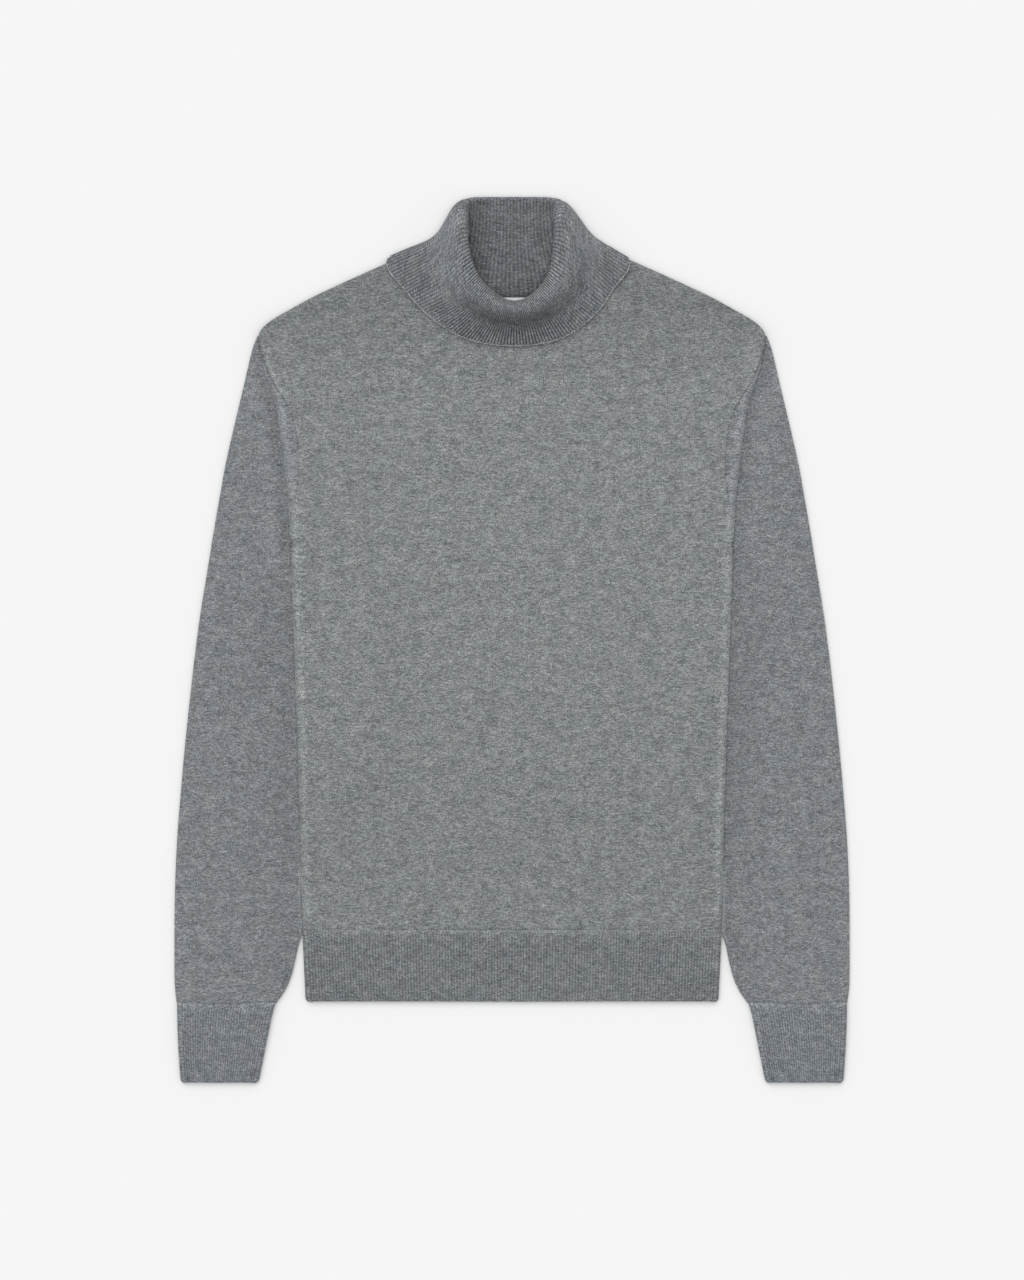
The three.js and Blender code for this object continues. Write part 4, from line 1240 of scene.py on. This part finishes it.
def rib_tree(name):
    wires, given, end = new_tree(name, {"Rib Pitch": ("Float", 0.0027), "Rib Depth": ("Float", 0.0006)})

    def attribute(label, kind):
        return wires.made("GeometryNodeInputNamedAttribute", {"Name": label}, data_type=kind)["Attribute"]

    across = wires.split(attribute("knit", "FLOAT_VECTOR"))[0]
    share = wires.minus(rib_profile(wires, across, given["Rib Pitch"]), RIB_MIDDLE)
    height = wires.times(wires.times(share, given["Rib Depth"]), attribute("relief", "FLOAT"))
    offset = wires.scaled(wires.made("GeometryNodeInputNormal")["Normal"], height)
    moved = wires.made("GeometryNodeSetPosition", {"Geometry": given["Geometry"], "Offset": offset})
    return finish_tree(wires, given, end, moved["Geometry"])


def stitch_tree(name):
    sizes = {"Pitch": 0.002, "Length": 0.0011, "Width": 0.0005, "Height": 0.0003, "Slant": 0.0}
    wires, given, end = new_tree(name, {label: ("Float", size) for label, size in sizes.items()})
    curve = wires.made("GeometryNodeMeshToCurve", {"Mesh": given["Geometry"]})["Curve"]
    even = wires.made("GeometryNodeResampleCurve", {"Curve": curve, "Length": given["Pitch"]}, mode="LENGTH")
    ball = wires.made("GeometryNodeMeshUVSphere", {
        "Segments": STITCH_SEGMENTS, "Rings": STITCH_RINGS, "Radius": 1.0,
    })
    smooth = wires.made("GeometryNodeSetShadeSmooth", {"Geometry": ball["Mesh"]})
    tangent = wires.made("GeometryNodeInputTangent")["Tangent"]
    turn = wires.made("FunctionNodeAlignRotationToVector", {"Vector": tangent}, axis="X")
    placed = wires.made("GeometryNodeInstanceOnPoints", {
        "Points": even["Curve"], "Instance": smooth["Geometry"], "Rotation": turn["Rotation"],
        "Scale": wires.join(given["Length"], given["Width"], given["Height"]),
    })
    slanted = wires.made("GeometryNodeRotateInstances", {
        "Instances": placed["Instances"], "Rotation": wires.join(z=given["Slant"]),
    })
    return finish_tree(wires, given, end, slanted["Instances"])


def grow(piece, tree, values):
    """Runs a geometry tree on a piece once, and leaves it a plain mesh."""
    modifier = piece.modifiers.new(tree.name, "NODES")
    modifier.node_group = tree
    for item in tree.interface.items_tree:
        if item.item_type == "SOCKET" and item.in_out == "INPUT" and item.name in values:
            modifier[item.identifier] = values[item.name]
    graph = bpy.context.evaluated_depsgraph_get()
    grown = bpy.data.meshes.new_from_object(piece.evaluated_get(graph))
    piece.modifiers.clear()
    old = piece.data
    piece.data = grown
    grown.name = piece.name
    bpy.data.meshes.remove(old)


def grow_ribs(piece, material):
    sizes = bpy.context.scene.sweater_sizes
    values = {"Rib Pitch": sizes.rib_pitch, "Rib Depth": sizes.rib_depth, "Material": material}
    grow(piece, group_called("Ribs", rib_tree), values)


def melange_group(name):
    """Colour of heathered yarn: flecks along each row of stitches, fine grain and broad clouds."""
    inputs = {"Knit": ("Vector", None), "Colour": ("Color", (0.25, 0.25, 0.25, 1))}
    inputs.update({label: ("Float", value) for label, value in MELANGE.items()})
    wires, given, end = new_group(name, "ShaderNodeTree", inputs, {"Colour": "Color"})
    knit = given["Knit"]
    across, along = wires.split(knit)
    rows = wires.over(along, given["Row Height"])
    flecks = wires.over(across, given["Fleck Length"])
    fleck = wires.noise(wires.join(flecks, rows, FLECK_SLICE), 1.0, 0.6)
    grain = wires.noise(wires.scaled(knit, GRAIN_SCALE), 1.0, 0.7)
    broad = wires.join(wires.times(across, CLOUD_SCALE[0]), wires.times(along, CLOUD_SCALE[1]), CLOUD_SLICE)
    cloud = wires.noise(broad, 2.0, 0.6)
    patch = wires.minus(wires.noise(wires.scaled(knit, PATCH_SCALE), 4.0, 0.75), 0.5)
    tone = wires.times(patch, PATCH_CONTRAST)
    for value, label in ((fleck, "Fleck Contrast"), (grain, "Grain Contrast"), (cloud, "Cloud Contrast")):
        tone = wires.plus(tone, wires.times(wires.minus(value, 0.5), given[label]))
    bright = wires.times(wires.times(tone, tone), BRIGHT_TAIL)
    share = wires.maths("MAXIMUM", wires.plus(wires.plus(tone, MEAN_TONE), bright), DARKEST)
    tinted = wires.times(patch, PATCH_TINT)
    tint = wires.join(wires.plus(tinted, 1.0), 1.0, wires.minus(1.0, tinted))
    feeds = {0: wires.scaled(given["Colour"], share), 1: tint}
    wires.feed(end["Colour"], wires.made("ShaderNodeVectorMath", feeds, operation="MULTIPLY")["Vector"])
    return wires.tree


def stockinette_group(name):
    """Height of plain knit: two slanted legs in each column of stitches."""
    inputs = {"Knit": ("Vector", None), "Wale": ("Float", 0.0016), "Course": ("Float", 0.0012)}
    wires, given, end = new_group(name, "ShaderNodeTree", inputs, {"Height": "Float"})
    across, along = wires.split(given["Knit"])
    wobble = wires.minus(wires.noise(wires.scaled(given["Knit"], KNIT_WOBBLE_SCALE), 1.0), 0.5)
    column = wires.plus(wires.over(across, given["Wale"]), wires.times(wobble, KNIT_WOBBLE))
    within = wires.size_of(wires.minus(wires.maths("FRACT", column), 0.5))
    row = wires.plus(wires.over(along, given["Course"]), within)
    legs = wires.maths("POWER", wires.size_of(wires.wave(column, 1)), LEG_POWER)
    rows = wires.maths("POWER", wires.size_of(wires.wave(row, 2)), COURSE_POWER)
    wires.feed(end["Height"], wires.times(legs, rows))
    return wires.tree


def rib_shade_group(name):
    """Shade of the ribs: 1 on the crest, less in the furrow where little light reaches."""
    inputs = {"Knit": ("Vector", None), "Rib Pitch": ("Float", 0.0027), "Furrow": ("Float", 0.7)}
    outputs = {"Shade": "Float", "Height": "Float"}
    wires, given, end = new_group(name, "ShaderNodeTree", inputs, outputs)
    across, along = wires.split(given["Knit"])
    profile = rib_profile(wires, across, given["Rib Pitch"])
    lit = wires.times(profile, wires.minus(1.0, given["Furrow"]))
    rows = wires.times(wires.wave(along, RIB_COURSE), RIB_COURSE_SHARE)
    wires.feed(end["Shade"], wires.plus(given["Furrow"], lit))
    wires.feed(end["Height"], wires.plus(profile, rows))
    return wires.tree


def new_material(name, looks):
    """A material, its wires and its shader's inputs, with the plain looks set."""
    material = bpy.data.materials.new(name)
    material.use_nodes = True
    shader = material.node_tree.nodes["Principled BSDF"]
    for label, value in looks.items():
        shader.inputs[label].default_value = value
    return material, Wires(material.node_tree), shader.inputs


def knit_material(name, yarn_colour, furrow=None, loose=False):
    """Matt knitted wool with a soft nap. It is ribbed, with painted shade in the furrows, where a furrow is
    given, else plain, and its colour carries the painted light and shade of the tone attribute.
    """
    sizes = bpy.context.scene.sweater_sizes
    material, wires, shader = new_material(name, KNIT_LOOKS)
    knit = wires.made("ShaderNodeTexCoord")["Object"] if loose else wires.attribute("knit", "Vector")
    feeds = {"Knit": knit, "Colour": (*yarn_colour, 1), **MELANGE}
    shown = wires.group("Melange Yarn", melange_group, feeds)["Colour"]
    if furrow:
        feeds = {"Knit": knit, "Rib Pitch": sizes.rib_pitch, "Furrow": furrow}
        ribs = wires.group("Rib Shade", rib_shade_group, feeds)
        # painted shade in the rib furrows, as deep as the relief allows
        shade = wires.times(wires.minus(ribs["Shade"], 1.0), wires.attribute("relief"))
        shown = wires.scaled(shown, wires.plus(shade, 1.0))
        height, depth = ribs["Height"], RIB_BUMP
    else:
        feeds = {"Knit": knit, "Wale": sizes.wale, "Course": sizes.course}
        height = wires.group("Stockinette", stockinette_group, feeds)["Height"]
        depth = KNIT_BUMP
    feeds = {"Height": height, "Distance": depth, "Strength": BUMP_STRENGTH}
    wires.feed(shader["Normal"], wires.made("ShaderNodeBump", feeds)["Normal"])
    # the tone attribute paints light and shade into the base colour
    wires.feed(shader["Base Color"], wires.scaled(shown, wires.plus(wires.attribute("tone"), 1.0)))
    return material


def label_material(tape_colour):
    """Smooth woven tape."""
    material, wires, shader = new_material("woven_tape", TAPE_LOOKS)
    place = wires.made("ShaderNodeTexCoord")["Object"]
    across, along = wires.split(place)
    weave = wires.times(wires.wave(across, TAPE_PITCH), wires.wave(along, TAPE_PITCH))
    bump = wires.made("ShaderNodeBump", {"Height": weave, "Distance": TAPE_BUMP})
    cloud = wires.noise(wires.scaled(place, TAPE_CLOUD_SCALE))
    tone = wires.plus(wires.times(cloud, TAPE_TONE[1]), TAPE_TONE[0])
    wires.feed(shader["Base Color"], wires.scaled(wires.join(*tape_colour), tone))
    wires.feed(shader["Normal"], bump["Normal"])
    return material


def paint(piece, material):
    piece.data.materials.clear()
    piece.data.materials.append(material)


def hand_over(piece, nodes=()):
    """Lets a finished piece ride on the body and stand for its nodes."""
    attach(piece, BODY)
    if nodes:
        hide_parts(*nodes)


class StageOperator(bpy.types.Operator):
    """Lays the pale surface and sets the camera and the soft light"""

    bl_idname = "sweater.make_stage"
    bl_label = "Stage"

    def execute(self, context):
        self.lay_surface(context)
        self.add_camera(context)
        self.add_light(context)
        context.scene.view_settings.view_transform = "Standard"
        context.scene.view_settings.look = "None"
        return {"FINISHED"}

    @staticmethod
    def lay_surface(context):
        mesh = bpy.data.meshes.new("surface")
        corners = [(x * SURFACE_REACH, y * SURFACE_REACH, -SURFACE_DROP)
                   for x, y in ((-1, -1), (1, -1), (1, 1), (-1, 1))]
        mesh.from_pydata(corners, [], [(0, 1, 2, 3)])
        surface = linked("surface", mesh)
        material, wires, shader = new_material("pale_surface", SURFACE_LOOKS)
        wires.feed(shader["Base Color"], (*context.scene.sweater_colours.surface, 1))
        paint(surface, material)

    @staticmethod
    def add_camera(context):
        studio = context.scene.sweater_studio
        data = bpy.data.cameras.new("camera")
        data.sensor_fit = "VERTICAL"
        data.sensor_height = SENSOR
        data.sensor_width = SENSOR
        data.lens = SENSOR * studio.camera_height / studio.view_height
        data.clip_end = CLIP_END
        camera = linked("camera", data)
        camera.location = (0, 0, studio.camera_height)
        context.scene.camera = camera

    @staticmethod
    def add_light(context):
        studio = context.scene.sweater_studio
        data = bpy.data.lights.new("key", "SUN")
        data.angle = studio.key_softness
        data.energy = studio.key
        light = linked("key", data)
        light.location = studio.key_from
        light.rotation_euler = (-Vector(studio.key_from)).to_track_quat("-Z", "Y").to_euler()
        world = bpy.data.worlds.new("studio")
        world.use_nodes = True
        background = world.node_tree.nodes["Background"].inputs
        background["Color"].default_value = (1, 1, 1, 1)
        background["Strength"].default_value = studio.sky
        context.scene.world = world


class BackOperator(bpy.types.Operator):
    """Makes the back panel, which lies on the surface"""

    bl_idname = "sweater.make_back"
    bl_label = "Back"

    def execute(self, context):
        piece = back_panel()
        paint(piece, knit_material("back_knit", context.scene.sweater_colours.body))
        hand_over(piece, ["back"])
        return {"FINISHED"}


class FrontOperator(bpy.types.Operator):
    """Makes the front panel with its folded sides"""

    bl_idname = "sweater.make_front"
    bl_label = "Front"

    def execute(self, context):
        piece = front_panel()
        paint(piece, knit_material("front_knit", context.scene.sweater_colours.body))
        hand_over(piece, ["front"])
        return {"FINISHED"}


class SleevesOperator(bpy.types.Operator):
    """Makes both sleeves, which turn out from under the body"""

    bl_idname = "sweater.make_sleeves"
    bl_label = "Sleeves"

    def execute(self, context):
        puff = context.scene.sweater_sizes.sleeve_puff / MILLIMETRE
        material = knit_material("sleeve_knit", context.scene.sweater_colours.sleeve)
        for name, sign, node in (("left_sleeve", -1, "sleeve_left"), ("right_sleeve", 1, "sleeve_right")):
            piece = sleeve(name, sign, puff)
            paint(piece, material)
            hand_over(piece, [node])
        return {"FINISHED"}


class HemOperator(bpy.types.Operator):
    """Makes the ribbed hem"""

    bl_idname = "sweater.make_hem"
    bl_label = "Hem"

    def execute(self, context):
        ribs = context.scene.sweater_sizes.hem_ribs
        material = knit_material("hem_rib", context.scene.sweater_colours.hem, BAND_FURROW)
        piece = flat_band("ribbed_hem", HEM_EDGES, HEM_LEVEL, ribs, HEM_SETTLES)
        grow_ribs(piece, material)
        hand_over(piece, ["hem_rib"])
        return {"FINISHED"}


class CuffsOperator(bpy.types.Operator):
    """Makes both ribbed cuffs"""

    bl_idname = "sweater.make_cuffs"
    bl_label = "Cuffs"

    def execute(self, context):
        ribs = context.scene.sweater_sizes.cuff_ribs
        material = knit_material("cuff_rib", context.scene.sweater_colours.cuff, BAND_FURROW)
        for name, sign, node in (("left_cuff", -1, "cuff_left"), ("right_cuff", 1, "cuff_right")):
            edges = CUFF_EDGES if sign > 0 else tuple((y, -far, -near) for y, near, far in CUFF_EDGES)
            piece = flat_band(name, edges, CUFF_LEVEL, ribs, CUFF_SETTLES)
            grow_ribs(piece, material)
            hand_over(piece, [node])
        return {"FINISHED"}


class CollarOperator(bpy.types.Operator):
    """Makes the folded collar with its ribs"""

    bl_idname = "sweater.make_collar"
    bl_label = "Collar"

    def execute(self, context):
        sizes = context.scene.sweater_sizes
        material = knit_material("collar_rib", context.scene.sweater_colours.collar, COLLAR_FURROW)
        piece = collar_tube(sizes.collar_ribs, sizes.rib_pitch / MILLIMETRE)
        grow_ribs(piece, material)
        hand_over(piece, ["collar"])
        return {"FINISHED"}


class LabelOperator(bpy.types.Operator):
    """Makes the bare label inside the back of the neck"""

    bl_idname = "sweater.make_label"
    bl_label = "Label"

    def execute(self, context):
        piece = label_piece()
        paint(piece, label_material(context.scene.sweater_colours.label))
        hand_over(piece, ["neck_label"])
        return {"FINISHED"}


class SeamsOperator(bpy.types.Operator):
    """Makes the linking stitches along the collar's edge, the armholes, the hem and the cuffs"""

    bl_idname = "sweater.make_seams"
    bl_label = "Seams"

    def execute(self, context):
        body = context.scene.sweater_colours.body
        pitch = context.scene.sweater_sizes.stitch_pitch
        yarns = {
            name: knit_material(name, [shade * part for part in body], loose=True)
            for name, shade in YARN_SHADES.items()
        }
        for name, points, slot, yarn, kind in seam_lines():
            line = polyline(name, points)
            stitch = STITCHES[kind]
            values = {**stitch, "Pitch": stitch["Pitch"] * pitch, "Material": yarns[yarn]}
            grow(line, group_called("Stitch Row", stitch_tree), values)
            hand_over(line)
        return {"FINISHED"}


OPERATORS = (
    StageOperator, BackOperator, FrontOperator, SleevesOperator, HemOperator, CuffsOperator, CollarOperator,
    LabelOperator, SeamsOperator,
)


class SweaterPanel(bpy.types.Panel):
    """Lists the steps and the settings"""

    bl_idname = "VIEW3D_PT_sweater"
    bl_label = "Turtleneck Sweater"
    bl_space_type = "VIEW_3D"
    bl_region_type = "UI"
    bl_category = "Sweater"

    def draw(self, context):
        for operator in OPERATORS:
            self.layout.operator(operator.bl_idname)
        scene = context.scene
        for group in (scene.sweater_sizes, scene.sweater_colours, scene.sweater_studio):
            for name in group.__annotations__:
                self.layout.prop(group, name)


CLASSES = (SweaterSizes, SweaterColours, StudioSettings, *OPERATORS, SweaterPanel)


def register():
    for entry in CLASSES:
        bpy.utils.register_class(entry)
    bpy.types.Scene.sweater_sizes = PointerProperty(type=SweaterSizes)
    bpy.types.Scene.sweater_colours = PointerProperty(type=SweaterColours)
    bpy.types.Scene.sweater_studio = PointerProperty(type=StudioSettings)


def unregister():
    del bpy.types.Scene.sweater_studio
    del bpy.types.Scene.sweater_colours
    del bpy.types.Scene.sweater_sizes
    for entry in reversed(CLASSES):
        bpy.utils.unregister_class(entry)


def main():
    register()
    bpy.ops.sweater.make_stage()
    bpy.ops.sweater.make_back()
    bpy.ops.sweater.make_front()
    bpy.ops.sweater.make_sleeves()
    bpy.ops.sweater.make_hem()
    bpy.ops.sweater.make_cuffs()
    bpy.ops.sweater.make_collar()
    bpy.ops.sweater.make_label()
    bpy.ops.sweater.make_seams()


if __name__ == "__main__":
    main()
